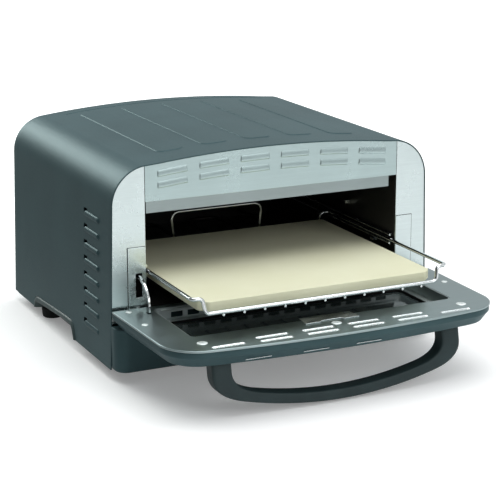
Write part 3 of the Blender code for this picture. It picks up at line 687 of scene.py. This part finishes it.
def side_grip(side, word):
    """A moulded liner whose fat lip rolls in from the casing's face to the dark inside."""
    rings = []
    for i in range(13):
        t = i / 12
        inset = 0.5 + 11.5 * t
        swell = 3.0 * max(0.0, math.sin(math.pi * min(1, t * 1.15))) ** 0.6
        depth = 1.2 - swell + 12 * t ** 5
        outline = grip_outline(inset)
        rings.append([(side * (half_width(z) - depth), y, max(z, GRIP_FLOOR)) for y, z in outline])
    rings.append([(side * (HALF_WIDTH - 15.0), y, max(z, GRIP_FLOOR)) for y, z in grip_outline(12.2)])
    liner = thicken(loft(rings, closed=False), 0.8, 0.0)
    on_oven(f"grip_liner_{word}", liner, LIP, (f"side_grip_{word}",), 50)
    plate = facing_side(sheet([[(y, max(z, GRIP_FLOOR)) for y, z in grip_outline(3.0)]], 1.0, 0.2, -0.5))
    on_oven(f"grip_back_{word}", moved(plate, x=side * (HALF_WIDTH - 16)), PLASTIC)


def rear_cover():
    """A shallow pan over the back, a little lower than the casing at the crown, with three rows of vents."""
    rings = []
    for inset, behind in ((0.9, 0.3), (0.5, 0.8), (0.4, 1.4), (0.4, 14), (1.0, 16.4), (2.4, 18.4),
                          (4.6, 19.6), (7.5, 20)):
        rings.append([(x, CASING_BACK + behind, z - COVER_DROP * (max(0.0, z - BOTTOM) / (TOP - BOTTOM)) ** 4)
                      for x, z in arch(inset, BOTTOM + inset, 20)])
    shell = loft(rings, closed=True, cap_end=True)
    flat = max(shell.polygons, key=lambda p: p.area)
    shell = thicken(shell, SHEET, flip=flat.normal[1] < 0)
    cutters = []
    for z in (196, 206, 216):
        for i in range(8):
            x = (i - 3.5) * 42
            slot = sheet([capsule(x, z, 32, 4.2)], 20, 0.05, -10)
            cutters.append(moved(facing_front(slot), y=BACK))
    cutters.append(moved(facing_front(drill(6.3, 12)), *GLAND))
    on_oven("rear_panel", cut(shell, cutters), PAINT, ("rear_cover",))
    screws = []
    for x, z in ((-205, 60), (205, 60), (-200, 215), (200, 215), (0, 35)):
        screws.append(moved(turned(screw_head(3.6, 1.8), "X", -90), x, BACK + 0.05, z))
    on_oven("rear_screws", joined(screws), CHROME)


def drill(radius, reach):
    """A plain cylinder along Z, to cut a hole with."""
    return lathe([(0, reach), (radius, reach), (radius, -reach), (0, -reach)], 32)


def screw_head(radius, rise):
    """A domed head with a cross recess."""
    dome = [(0, rise)] + [(radius * math.sin(a), rise * math.cos(a)) for a in
                          (math.pi / 2 * i / 8 for i in range(1, 9))] + [(radius * 0.98, -0.3), (0, -0.3)]
    head = lathe(dome, 32)
    arm = radius * 0.52
    tools = [block((-arm, arm), (-0.45, 0.45), (rise - 0.75, rise + 1)),
             block((-0.45, 0.45), (-arm, arm), (rise - 0.76, rise + 1.1))]
    return cut(cut(head, tools[:1]), tools[1:])


# ---------------------------------------------------------------- front

OPENING_HALF, OPENING_TOP, BEZEL_BOTTOM = 183.0, 230.7, 76.0
VENT_PITCH, VENT_LENGTH, VENT_HEIGHT = 58.0, 42.0, 8.0
HOOD_OUT, HOOD_END = 1.0, 1.5
POST_INSET = 1.6
FACE_Y, DIAL_Z, DIAL_X = -24.9, 43, 85


def hood():
    """A pressed louvre: a ramp from flush at its top out to a rolled lower lip, with steep ends."""
    rings = []
    length, columns = VENT_LENGTH / 2, 36
    for i in range(columns + 1):
        px = -length * math.cos(math.pi * i / columns)
        end = length - abs(px)
        run = max(0.0, 1 - end / HOOD_END)
        top = VENT_HEIGHT * math.sqrt(max(0.0004, 1 - run ** 2))
        rise = HOOD_OUT * smoothstep(end / HOOD_END + 0.05)
        ring = [(px, 0.5, 0.3), (px, -rise * 0.2, -0.4), (px, -rise * 0.6, -0.2), (px, -rise * 0.88, 0.35)]
        for k in range(9):
            t = k / 8
            ring.append((px, -rise * (1 - t ** 1.9), 0.9 + (top - 0.9) * t))
        rings.append(ring)
    return thicken(loft(rings, closed=False), 0.3, 0.0)


def bezel():
    """The two posts with their hinge covers, and the vented panel between them."""
    whole = arch(POST_INSET, BEZEL_BOTTOM, 28)
    half = len(whole) // 2
    seam = OPENING_HALF + 0.75
    for side, word in SIDES:
        corner = [p for p in whole[:half] if p[0] < -seam]
        corner += [(-seam, crown_height(seam, POST_INSET)), (-seam, BEZEL_BOTTOM)]
        slots = [rectangle((-198.3, -189.3), (107, 139), 1.2)] if side == LEFT else []
        post = facing_front(sheet([mirrored(corner, -side)] + slots, SHEET, 0.35))
        on_oven(f"post_{word}", moved(post, y=SHEET), STEEL, (f"bezel_post_{word}",))
        edge = rectangle((-208.5, -184), (94, 173.3), 0.8)
        plate = facing_front(sheet([mirrored(edge, -side)] + slots, 0.8, 0.25))
        on_oven(f"hinge_cover_{word}", moved(plate, y=-0.25), STEEL,
                (f"hinge_plate_{word}",))
        # Painted shade: a thin dark rubber sheet, a little larger than the hinge cover and lying between it
        # and the post, stands in for the shadow in the gap round the cover.
        rim = rectangle((-209.4, -184), (93.6, 173.9), 1.0)
        gap_shade = facing_front(sheet([mirrored(rim, -side)] + slots, 0.2, 0.05))
        on_oven(f"hinge_gap_shade_{word}", moved(gap_shade, y=-0.02), RUBBER)
    seam = OPENING_HALF + 0.2
    crown = [p for p in whole if abs(p[0]) < seam]
    panel = [(-seam, OPENING_TOP), (-seam, crown_height(seam, POST_INSET))] + crown
    panel += [(seam, crown_height(seam, POST_INSET)), (seam, OPENING_TOP)]
    slots, hoods = [], []
    for i in range(6):
        x = (i - 2.5) * VENT_PITCH
        crest = crown_height(x, 0) - TOP
        for z in (256.3, 271.2):
            made = hood()
            made.transform(Matrix.Rotation(math.asin(x / CROWN_R), 4, "Y"))
            hoods.append(moved(made, x, 0, z + crest))
            slots.append(capsule(x, z + crest + 2.8, VENT_LENGTH - 6, 4))
    plate = moved(facing_front(sheet([panel] + slots, SHEET, 0.3)), y=SHEET)
    on_oven("vent_panel", joined([plate] + hoods), SHADED_PANEL_STEEL, ("louvre_panel",), 40)


def on_face(mesh, x, ahead=0.0):
    """Stands a turned or flat piece on the control housing's face."""
    return moved(facing_front(mesh), x, FACE_Y + ahead, DIAL_Z)


def control_housing():
    half, radius = HALF_WIDTH - 1.5, 17

    def plan(shrink, z):
        corner = arc((-half + radius, FACE_Y + radius), radius - shrink, 180, 270, 12)
        left = [(-half + shrink, -1.3)] + corner
        return [(x, y, z) for x, y in left] + [(-x, y, z) for x, y in reversed(left)]

    low, high, roll = 15.0, 73.5, 5.0
    rings = []
    for i in range(7):
        a = math.pi / 2 * i / 6
        rings.append(plan(roll * (1 - math.sin(a)), low + roll * (1 - math.cos(a))))
    for i in range(5):
        a = math.pi / 2 * i / 4
        rings.append(plan(1.2 * (1 - math.cos(a)), high - 1.2 * (1 - math.sin(a))))
    shell = loft(rings, closed=False, cap_start=True, cap_end=True)
    lid = max(shell.polygons, key=lambda p: p.center[2])
    shell = thicken(shell, 1.8, flip=lid.normal[2] < 0)
    cutters = [on_face(drill(r, 10), x) for x, r in ((-DIAL_X, 3.8), (DIAL_X, 3.8), (0, 4.3))]
    on_oven("control_housing", cut(shell, cutters), PAINT, ("base_front",), 40)
    marks = []
    for x, sweep in ((-DIAL_X, 270), (DIAL_X, 300)):
        for i in range(11):
            a = math.radians(90 + sweep / 2 - sweep * i / 10)
            long = 3.2 if i % 5 == 0 else 2.0
            bar = sheet([rectangle((23, 23 + long), (-0.45, 0.45), 0.4, 3)], 0.14, 0.03)
            bar.transform(Matrix.Rotation(a, 4, "Z"))
            marks.append(on_face(bar, x, 0.02))
    on_oven("dial_marks", joined(marks), INK)


def knobs():
    """Two scalloped dials, each with its pointer, and the lens between them."""
    profile = [(0, 18.9), (12, 18.9), (14.8, 19.3), (15.8, 20.0), (16.8, 19.7), (18.0, 18.2), (18.4, 16),
               (18.9, 8), (19.6, 3), (20, 1.6), (19.7, 1), (3.2, 1), (3.2, -8.5), (0, -8.5)]
    for side, word in ((LEFT, "temperature"), (-LEFT, "timer")):
        name, body, x = word + "_knob", word + "_dial", side * DIAL_X
        dial = on_face(lathe(profile, 180, 45, 0.5), x)
        place(name + "_dial", dial, OVEN, BRIGHT_STEEL, body, (name,))
        pointer = on_face(sheet([capsule(0, 8.5, 1.6, 8, 6)], 0.5, 0.12, 18.7), x)
        place(name + "_pointer", pointer, OVEN, PLASTIC, body)
    lens = lathe([(0, 1.5), (1.5, 1.4), (2.8, 1.0), (3.6, 0.4), (4, 0), (4, -5), (0, -5)], 40)
    on_oven("indicator", on_face(lens, 0), AMBER, ("indicator_lens",))


# ---------------------------------------------------------------- cavity

def cavity():
    """The rack's guides, the heating elements, the lining and the thermostat's bulb."""
    front, back, low, high = 7, 380.5, 133.5, 145.3
    for side, word in SIDES:
        x = side * 180.5
        path = bent([(x, front, low), (x, back, low), (x, back, high), (x, front, high)], 5.5, 8)
        on_oven(f"guide_wire_{word}", tube([path], 2.0), CHROME, (f"rack_guide_{word}",), 60)
        clips = []
        for y in (52, 210, 340):
            clips.append(block(sorted((side * 177.2, side * 183.6)), (y - 5, y + 5), (128.0, 131.2), 0.4))
        clips.append(block(sorted((side * 176.5, side * 183.6)), (126, 137), (163, 168.5), 0.5))
        on_oven(f"guide_clips_{word}", joined(clips), BRIGHT_STEEL)
    pitch, runs, near, far, rear = 52.0, 6, 42, 356, 396.0
    for name, z in (("upper_element", 212.0), ("lower_element", 102.5)):
        first = -pitch * (runs - 1) / 2
        points = [(first, rear, z)]
        for i in range(runs):
            x = first + pitch * i
            ends = (far, near) if i % 2 == 0 else (near, far)
            if i > 0:
                points.append((x, ends[0], z))
            if i < runs - 1:
                points.append((x, ends[1], z))
        points.append((-first, rear, z))
        on_oven(name + "_tube", tube([bent(points, 18, 10)], 3.2, 6), SHEATH, (name,), 60)
    for node in ("cavity_floor", "cavity_roof", "cavity_side_left", "cavity_side_right", "cavity_back",
                 "front_sill"):
        finish_node(node, CAVITY)
    finish_node("opening_flange", FLANGE_STEEL)
    finish_node("insulation_blanket", WOOL)
    bulb = lathe([(0, 35), (1.2, 34.8), (2.3, 34.1), (2.9, 33), (3, 31), (3, -31), (2.9, -33), (2.3, -34.1),
                  (0, -35)], 24)
    on_oven("bulb_tube", moved(facing_front(bulb), 168, 240, 224), CHROME,
            ("thermostat_bulb",), 60)


# ---------------------------------------------------------------- base

def base():
    finish_node("base_pan", PAINT_DARK)
    finish_node("terminal_block", PLASTIC)
    finish_node("thermostat_body", PLASTIC)
    finish_node("timer_body", PLASTIC)
    foot = [(0, 15.4), (15, 15.4), (16, 14.4), (16, 12.5), (15.2, 4), (14.6, 1.4), (13.4, 0.3), (12.4, 0),
            (6, 0), (5.2, 0.8), (0, 0.8)]
    for end, x, y in (("front", 190, 50), ("rear", 211, 296)):
        for side, word in SIDES:
            on_oven(f"rubber_foot_{end}_{word}", moved(lathe(foot, 48), side * x, y), RUBBER,
                    (f"foot_{end}_{word}",))
    gland = [(3.8, 8), (7.4, 8), (8.2, 7.6), (9.2, 6.2), (9.5, 5), (9.5, 1), (9.1, 0.35), (6, 0.3), (6, -6),
             (3.8, -6), (3.8, 8)]
    bush = moved(turned(lathe(gland, 40), "X", -90), *GLAND)
    on_oven("gland_bush", bush, RUBBER, ("cord_gland",))


def hinges():
    """The oven's half of each hinge: an ear, the pin and the spring coiled round it."""
    turns, per_turn, length = 3, 24, 4.5
    for side, word in SIDES:
        dome = arc((HINGE_Y, HINGE_Z), 6, 0, 180, 16)
        ear = [(HINGE_Y - 6, 73.8), (HINGE_Y + 6, 73.8)] + dome
        plate = facing_side(sheet([ear, circle(HINGE_Y, HINGE_Z, HINGE_BORE)], 2.5, 0.4, -1.25))
        on_oven(f"ear_{word}", moved(plate, x=side * 205.2), STEEL, (f"hinge_ear_{word}",))
        pin = lathe([(0, 9.5), (2.1, 9.5), (2.5, 9.1), (2.5, -9.1), (2.1, -9.5), (0, -9.5)], 32)
        pin = moved(turned(pin, "Y", 90), side * 199.5, HINGE_Y, HINGE_Z)
        on_oven(f"pin_{word}", pin, CHROME, (f"hinge_pin_{word}",))
        coil = []
        for i in range(turns * per_turn + 1):
            a = 2 * math.pi * i / per_turn
            x = side * (198 + length * i / (turns * per_turn))
            coil.append((x, HINGE_Y + 3.8 * math.cos(a), HINGE_Z + 3.8 * math.sin(a)))
        on_oven(f"spring_{word}", tube([coil], 0.6, 3), CHROME, (f"hinge_spring_{word}",), 60)


# ---------------------------------------------------------------- door

DOOR_FACE, DOOR_OUTER, DOOR_REAR, DOOR_INSET, DOOR_WIDEN = 8.4, -14.9, 2.2, 2.0, 1.013
WINDOW_HALF, WINDOW_Y = 185.0, (-135.0, -10.0)
SLOT_LENGTH, SLOT_HEIGHT = 45, 7.0
ARM_X, ARM_ROOT, ARM_GROWTH, ARM_HALF, LEG_TOP = 194.0, 19.6, 0.288, 2.5, 3.5


def door_outline(inset, rear, steps=24):
    return [(x * DOOR_WIDEN, HINGE_Z - z) for x, z in arch(DOOR_INSET + inset, HINGE_Z - rear, steps)]


def slot_places():
    pairs = [((i - 1.5) * 63.5 + 1, y) for i in range(4) for y in (-171.0, -185.0)]
    return [(-156.6, -181.5), (161.0, -181.5)] + pairs


def screw_places():
    front = [(x, -161, 6.6) for x in (-182, 0, 182)]
    return front + [(side * x, y, 4.2) for side, _ in SIDES for x, y in ((217, -66), (216, -9.5))]


def door_panel():
    """The inner plate: a flat sheet with a rolled edge that turns down, and a shallow tray in each slot."""
    roll = 0.9
    holes = [rectangle((-WINDOW_HALF, WINDOW_HALF), WINDOW_Y, 8)]
    holes.append(rectangle((LEFT * ARM_X - 2.5, LEFT * ARM_X + 2.5), (-28, -18), 1.5))
    holes += [capsule(x, y, SLOT_LENGTH, SLOT_HEIGHT) for x, y in slot_places()]
    holes += [circle(x, y, 2.0, 16) for x, y, _ in screw_places()]
    face = sheet([door_outline(roll, DOOR_REAR - roll)] + holes, SHEET, 0.02, DOOR_FACE - SHEET)
    rings = []
    for i in range(7):
        a = math.pi / 2 * i / 6
        inset = roll * (1 - math.sin(a))
        height = DOOR_FACE - roll * (1 - math.cos(a))
        rings.append([(x, y, height) for x, y in door_outline(inset, DOOR_REAR - inset)])
    rings.append([(x, y, DOOR_FACE - 2.6) for x, y in door_outline(0, DOOR_REAR)])
    skirt = loft(rings, closed=True)
    side_face = max(skirt.polygons, key=lambda p: p.center[0])
    skirt = thicken(skirt, 1.0, flip=side_face.normal[0] < 0)
    on_door("door_plate", joined([face, skirt]), DOOR_STEEL, ("door_frame",), 35)
    channels = []
    for x, y in slot_places():
        rings = []
        for shrink, z in ((-0.05, -0.02), (0.15, -0.35), (0.6, -0.75), (1.3, -1.0), (2.2, -1.05)):
            outline = capsule(x, y, SLOT_LENGTH - 2 * shrink, SLOT_HEIGHT - 2 * shrink)
            rings.append([(px, py, DOOR_FACE + z) for px, py in outline])
        channels.append(thicken(loft(rings, closed=True, cap_end=True), 0.3, 0.0))
    on_door("door_channels", joined(channels), BRIGHT_STEEL, (), 60)


def window_well():
    """The walls of the recess, its rolled rear bar and the stepped ledge that holds the glass."""
    rear = WINDOW_Y[1]

    def ring(inset, radius):
        half = WINDOW_HALF - inset
        return rectangle((-half, half), (WINDOW_Y[0] + inset, rear - inset), radius)

    walls = sheet([ring(0.3, 7.7), ring(1.5, 6.5)], 16.4, 0.25, -8.4)
    cutters = []
    for i in range(14):
        x = (i - 6.5) * 23.2
        cutters.append(block((x - 8.2, x + 8.2), (rear - 4, rear + 4), (-5.5, 1.8), 0.6))
    walls = cut(walls, cutters)
    ledge = sheet([ring(1.6, 6.4), ring(11.5, 9)], 1.2, 0.3, -8.2)
    bar = tube([[(side * (WINDOW_HALF - 12), rear - 2.6, 5.6) for side, _ in SIDES]], 1.3, 5)
    seal = sheet([ring(11.6, 9), ring(13.2, 8)], 3.2, 0.5, -10.9)
    on_door("window_walls", joined([walls, ledge, bar]), WELL_STEEL, ("window_frame",), 40)
    on_door("window_seal", seal, RUBBER, (), 40)
    pane = sheet([rectangle((-175.5, 175.5), (-136.5, -24.5), 10)], 4, 0.6, DOOR_OUTER)
    on_door("window_pane", pane, GLASS, ("door_glass",), 40)


def door_skin():
    """The outer skin with its rolled lip and bevel, and the thin bright lines along its front."""
    rings = []
    for inset, height in ((1.1, DOOR_FACE - 3.2), (0.8, DOOR_FACE - 3.7), (0.7, 0.0), (0.8, -1.6),
                          (1.5, -2.7), (2.6, -3.7), (8.6, -12.6), (9.6, -14.0), (11.0, -14.7),
                          (12.6, DOOR_OUTER)):
        rings.append([(x, y, height) for x, y in door_outline(inset, 2 - 1.75 * max(0.0, inset - 0.8))])
    skin = loft(rings, closed=True, cap_end=True)
    flat = max(skin.polygons, key=lambda p: p.area)
    skin = thicken(skin, SHEET, flip=flat.normal[2] > 0)
    cutters = [sheet([rectangle((-176.3, 176.3), (-137.3, -23.7), 10.3)], 12, 0.02, DOOR_OUTER - 6)]
    for side, _ in SIDES:
        x = sorted((side * 188.5, side * 210))
        cutters.append(block(x, (-19.5, 8), (-18, 5)))
    on_door("door_skin", cut(skin, cutters), PAINT, ("door_shell",), 40)
    lines = []
    for x in (-122, -46, 27):
        slit = turned(facing_front(sheet([capsule(0, 0, 35, 1.2)], 0.3, 0.1)), "X", 34)
        edge = min(py for px, py in door_outline(0, 2) if abs(px - x) < 20)
        lines.append(moved(slit, x, edge + 5.6, -9.3))
    on_door("door_slits", joined(lines), BRIGHT_STEEL, (), 40)


def door_fittings():
    right = [(36, -128), (38, -151), (17, -151), (13, -147)]
    clip = right + [(-x, y) for x, y in reversed(right)]
    on_door("clip_plate", sheet([clip], 0.8, 0.25, DOOR_FACE + 0.3), BRIGHT_STEEL,
            ("glass_clip",))
    heads = []
    for x, y, radius in screw_places():
        heads.append(moved(screw_head(radius, 0.95), x, y, DOOR_FACE + 0.25))
    on_door("plate_screws", joined(heads), HEAD_STEEL,
            tuple(f"door_screw_{i}" for i in range(1, 8)))
    meet = math.degrees(math.asin(LEG_TOP / (ARM_ROOT - ARM_HALF + 2)))
    swing = spiral(ARM_HALF, 180, 62, 40) + spiral(-ARM_HALF, 62, 180 - meet, 36)
    hinge_leaf("arm", "hinge_arm", LEFT, swing)
    hinge_leaf("lug", "hinge_lug", -LEFT, [(-ARM_ROOT - ARM_HALF, LEG_TOP)])


def spiral(offset, start, end, steps):
    """Points on the arm's curve, which opens out from the door's leg to its tail."""
    angles = [start + (end - start) * i / steps for i in range(steps + 1)]
    reaches = [ARM_ROOT + ARM_GROWTH * (180 - a) + offset for a in angles]
    return [(r * math.cos(math.radians(a)), r * math.sin(math.radians(a))) for r, a in zip(reaches, angles)]


def hinge_leaf(name, node, side, swing):
    """The door's half of a hinge: an eye on the pin, a leg inside the door and, on the left, a curved arm."""
    low, eye = -4, 6.2
    outline = [(-ARM_ROOT - ARM_HALF, low)] + swing
    outline += arc((0, 0), eye, 180 - math.degrees(math.asin(LEG_TOP / eye)),
                   -180 + math.degrees(math.asin(-low / eye)), 24)
    leaf = facing_side(sheet([outline, circle(0, 0, HINGE_BORE, 24)], 3, 0.5, -1.5))
    on_door(name, moved(leaf, x=side * ARM_X), CHROME, (node,))


def door_handle():
    """A bow with a softly rounded section, leaning towards the door's free edge."""
    top, low = DOOR_OUTER - 0.3, 3.1 - HINGE_Z
    middle, lean, squareness = -159.6, 0.2, 0.3

    def half(rise, curl, bend, leg, leg_low):
        def bow(x):
            return low + rise + curl * x ** 2
        floor = [(bend * i / 14, bow(bend * i / 14)) for i in range(15)]
        knee = (leg, bow(bend) + 2 * curl * bend * (leg - bend))
        start, end = floor[-1], (leg, leg_low - HINGE_Z)
        curve = []
        for i in range(1, 15):
            t = i / 14
            curve.append([a * (1 - t) ** 2 + b * 2 * t * (1 - t) + c * t ** 2
                          for a, b, c in zip(start, knee, end)])
        return floor + curve + [(leg, end[1] + (top - end[1]) * t) for t in (0.33, 0.66, 1.0)]

    outer = half(0, 0.0009, 135, 174, 52)
    inner = half(13.4, 0.00095, 112, 147.5, 56)
    outer = [(-x, z) for x, z in reversed(outer[1:])] + outer
    inner = [(-x, z) for x, z in reversed(inner[1:])] + inner
    rings = []
    for (ox, oz), (ix, iz) in zip(outer, inner):
        ring = []
        for k in range(32):
            a = 2 * math.pi * k / 32
            c, s = math.cos(a), math.sin(a)
            u = 0.5 + 0.5 * math.copysign(abs(c) ** squareness, c)
            v = math.copysign(abs(s) ** squareness, s) * 10.5
            x, z = ix + (ox - ix) * u, iz + (oz - iz) * u
            ring.append((x, middle + v + lean * (z - top), z))
        rings.append(ring)
    on_door("handle_bow", loft(rings, True, True, True), HANDLE, ("door_handle",), 60)
    pads = []
    for side, _ in SIDES:
        pad = block((-15, 15), (-12.5, 12.5), (-0.6, 0.2), 0.25)
        pads.append(moved(pad, side * 160.5, middle + 0.2, top - 0.1))
    on_door("handle_pads", joined(pads), PLASTIC)


# ---------------------------------------------------------------- rack and stone

def rack():
    rear, rail, rail_z, front_z, half = 324.0, 179.5, 139.0, 120.0, 163.0
    corner = [(-rail, 4, rail_z), (-half - 3, 3, rail_z), (-half, 0, front_z)]
    front = corner + [(-x, y, z) for x, y, z in reversed(corner)]
    back = [(x, rear - y, z) for x, y, z in reversed(front)]
    middle = (-rail, rear / 2, rail_z)
    loop = bent([middle] + front + back + [middle], 6, 8)[:-1]
    parts = [tube([loop], 2.5, 6, True)]
    slat_z = 116.7
    slats = [[(x, -2.2, slat_z), (x, rear + 2.2, slat_z)] for x in [(i - 5) * 28.0 for i in range(11)]]
    parts.append(tube(slats, 1.6, 5))
    for y in (95.5, 230.5):
        parts.append(tube([[(-143, y, 113.8), (143, y, 113.8)]], 2.2, 5))
    stop = [(-66, rear + 0.4, 121), (-71, rear + 0.4, 164), (71, rear + 0.4, 164), (66, rear + 0.4, 121)]
    parts.append(tube([bent(stop, 14)], 2.2, 5))
    place("rack_wires", joined(parts), RACK, CHROME, "rack_carriage", ("rack",), 60)


def stone():
    chamfer, half, near, far = 11.0, 165.0, 11.0, 315.0
    corners = [(-half + chamfer, near), (half - chamfer, near), (half, near + chamfer), (half, far - 4),
               (half - 4, far), (-half + 4, far), (-half, far - 4), (-half, near + chamfer)]
    path = bent([(*p, 0) for p in corners + corners[:2]], 3.0, 5)
    outline = [(p[0], p[1]) for p in path[1:-1]]
    slab = sheet([outline], 12.5, 1.1, 118.6)
    place("stone_slab", slab, RACK, STONE, "baking_stone", ("stone",), 40)


# ---------------------------------------------------------------- studio

def area_light(name, location, target, size, energy, colour=(1, 1, 1)):
    data = bpy.data.lights.new(name, "AREA")
    data.shape = "RECTANGLE"
    data.size, data.size_y = size
    data.energy = energy
    data.color = colour
    made = bpy.data.objects.new(name, data)
    bpy.context.scene.collection.objects.link(made)
    made.location = location
    made.visible_camera = False
    made.rotation_euler = (Vector(target) - Vector(location)).to_track_quat("-Z", "Y").to_euler()


def paper():
    """White paper. For all but the camera's rays its colour is darker to the left: painted shade, so that
    less light bounces from it onto the oven's left side. It also glows: faintly for every ray, more for the
    camera's rays, and for those more still the further it lies from the origin; this glow is painted light
    that keeps the paper white.
    """
    made, tree, shader = nodes_of("studio_paper")
    seen = ramp(tree, grain(tree, 1.5, detail=3.0), [(0.3, (0.88, 0.88, 0.88)), (0.7, (0.90, 0.90, 0.90))])
    where = tree.nodes.new("ShaderNodeTexCoord").outputs["Object"]
    across = tree.nodes.new("ShaderNodeVectorMath")
    across.operation = "DOT_PRODUCT"
    across.inputs[1].default_value = (1, -0.35, 0)
    away = tree.nodes.new("ShaderNodeVectorMath")
    away.operation = "LENGTH"
    for node in (across, away):
        tree.links.new(where, node.inputs[0])
    # Painted shade: for rays other than the camera's, the paper's colour darkens towards the left.
    painted_left_shade = ramp(tree, spread(tree, across.outputs["Value"], 0.0, 1.0, -0.60, 0.05),
                  [(0.0, (0.16, 0.17, 0.17)), (1.0, (0.92, 0.92, 0.92))])
    direct = tree.nodes.new("ShaderNodeLightPath").outputs["Is Camera Ray"]
    base = mixed(tree, painted_left_shade, seen, 0.5)
    tree.links.new(direct, base.node.inputs["Factor"])
    # Painted light: the paper glows, more for the camera's rays and more the further it lies from the origin.
    glow = calculated(tree, "MULTIPLY_ADD", spread(tree, away.outputs["Value"], 0.0, 0.5, 0.35, 1.9), direct,
                      spread(tree, direct, 0.12, 0.22, 0.0, 1.0))
    dress(tree, shader, {"Base Color": base, "Roughness": 0.9, "Specular IOR Level": 0.0,
                         "Emission Color": (1, 1, 1, 1), "Emission Strength": glow})
    return made


def studio():
    bpy.ops.mesh.primitive_plane_add(size=30, location=(0, 0, 0))
    floor = bpy.context.object
    floor.name = "studio_floor"
    floor.data.materials.append(paper())
    world = bpy.data.worlds.new("studio")
    bpy.context.scene.world = world
    world.use_nodes = True
    tree = world.node_tree
    direction = tree.nodes.new("ShaderNodeTexCoord")
    split = tree.nodes.new("ShaderNodeSeparateXYZ")
    tree.links.new(direction.outputs["Generated"], split.inputs[0])
    strength = calculated(tree, "ADD", spread(tree, split.outputs["X"], 0.06, 0.66, -0.60, 0.45),
                          spread(tree, split.outputs["Z"], 0.0, 0.25, 0.35, 0.95))
    dress(tree, tree.nodes["Background"], {"Strength": strength, "Color": (0.95, 0.985, 1.0, 1)})
    area_light("rim", (-0.75, 1.75, 1.05), (-0.2, 0.1, 0.25), (0.9, 0.85), 20, (0.94, 1, 0.97))
    area_light("front", (0.7, -2.6, 1.5), (0, 0, 0.12), (1.8, 1.2), 13)
    area_light("over", (0.1, -0.2, 2.4), (0, 0, 0.2), (2.4, 2.0), 36)
    bpy.context.scene.view_settings.view_transform = "Standard"


def camera():
    data = bpy.data.cameras.new("camera")
    data.sensor_width = 36.0
    data.lens = 115.89624
    made = bpy.data.objects.new("camera", data)
    bpy.context.scene.collection.objects.link(made)
    made.location = (-0.92005, FRONT - 1.83410, 0.70835)
    yaw, pitch = math.radians(25.72), math.radians(15.31)
    made.rotation_euler = (math.pi / 2 - pitch, 0, -yaw)
    bpy.context.scene.camera = made


camera()
studio()
casing()
rear_cover()
for which, named in SIDES:
    side_louvres(which, named)
    side_grip(which, named)
bezel()
control_housing()
knobs()
cavity()
base()
hinges()
door_panel()
window_well()
door_skin()
door_fittings()
door_handle()
rack()
stone()
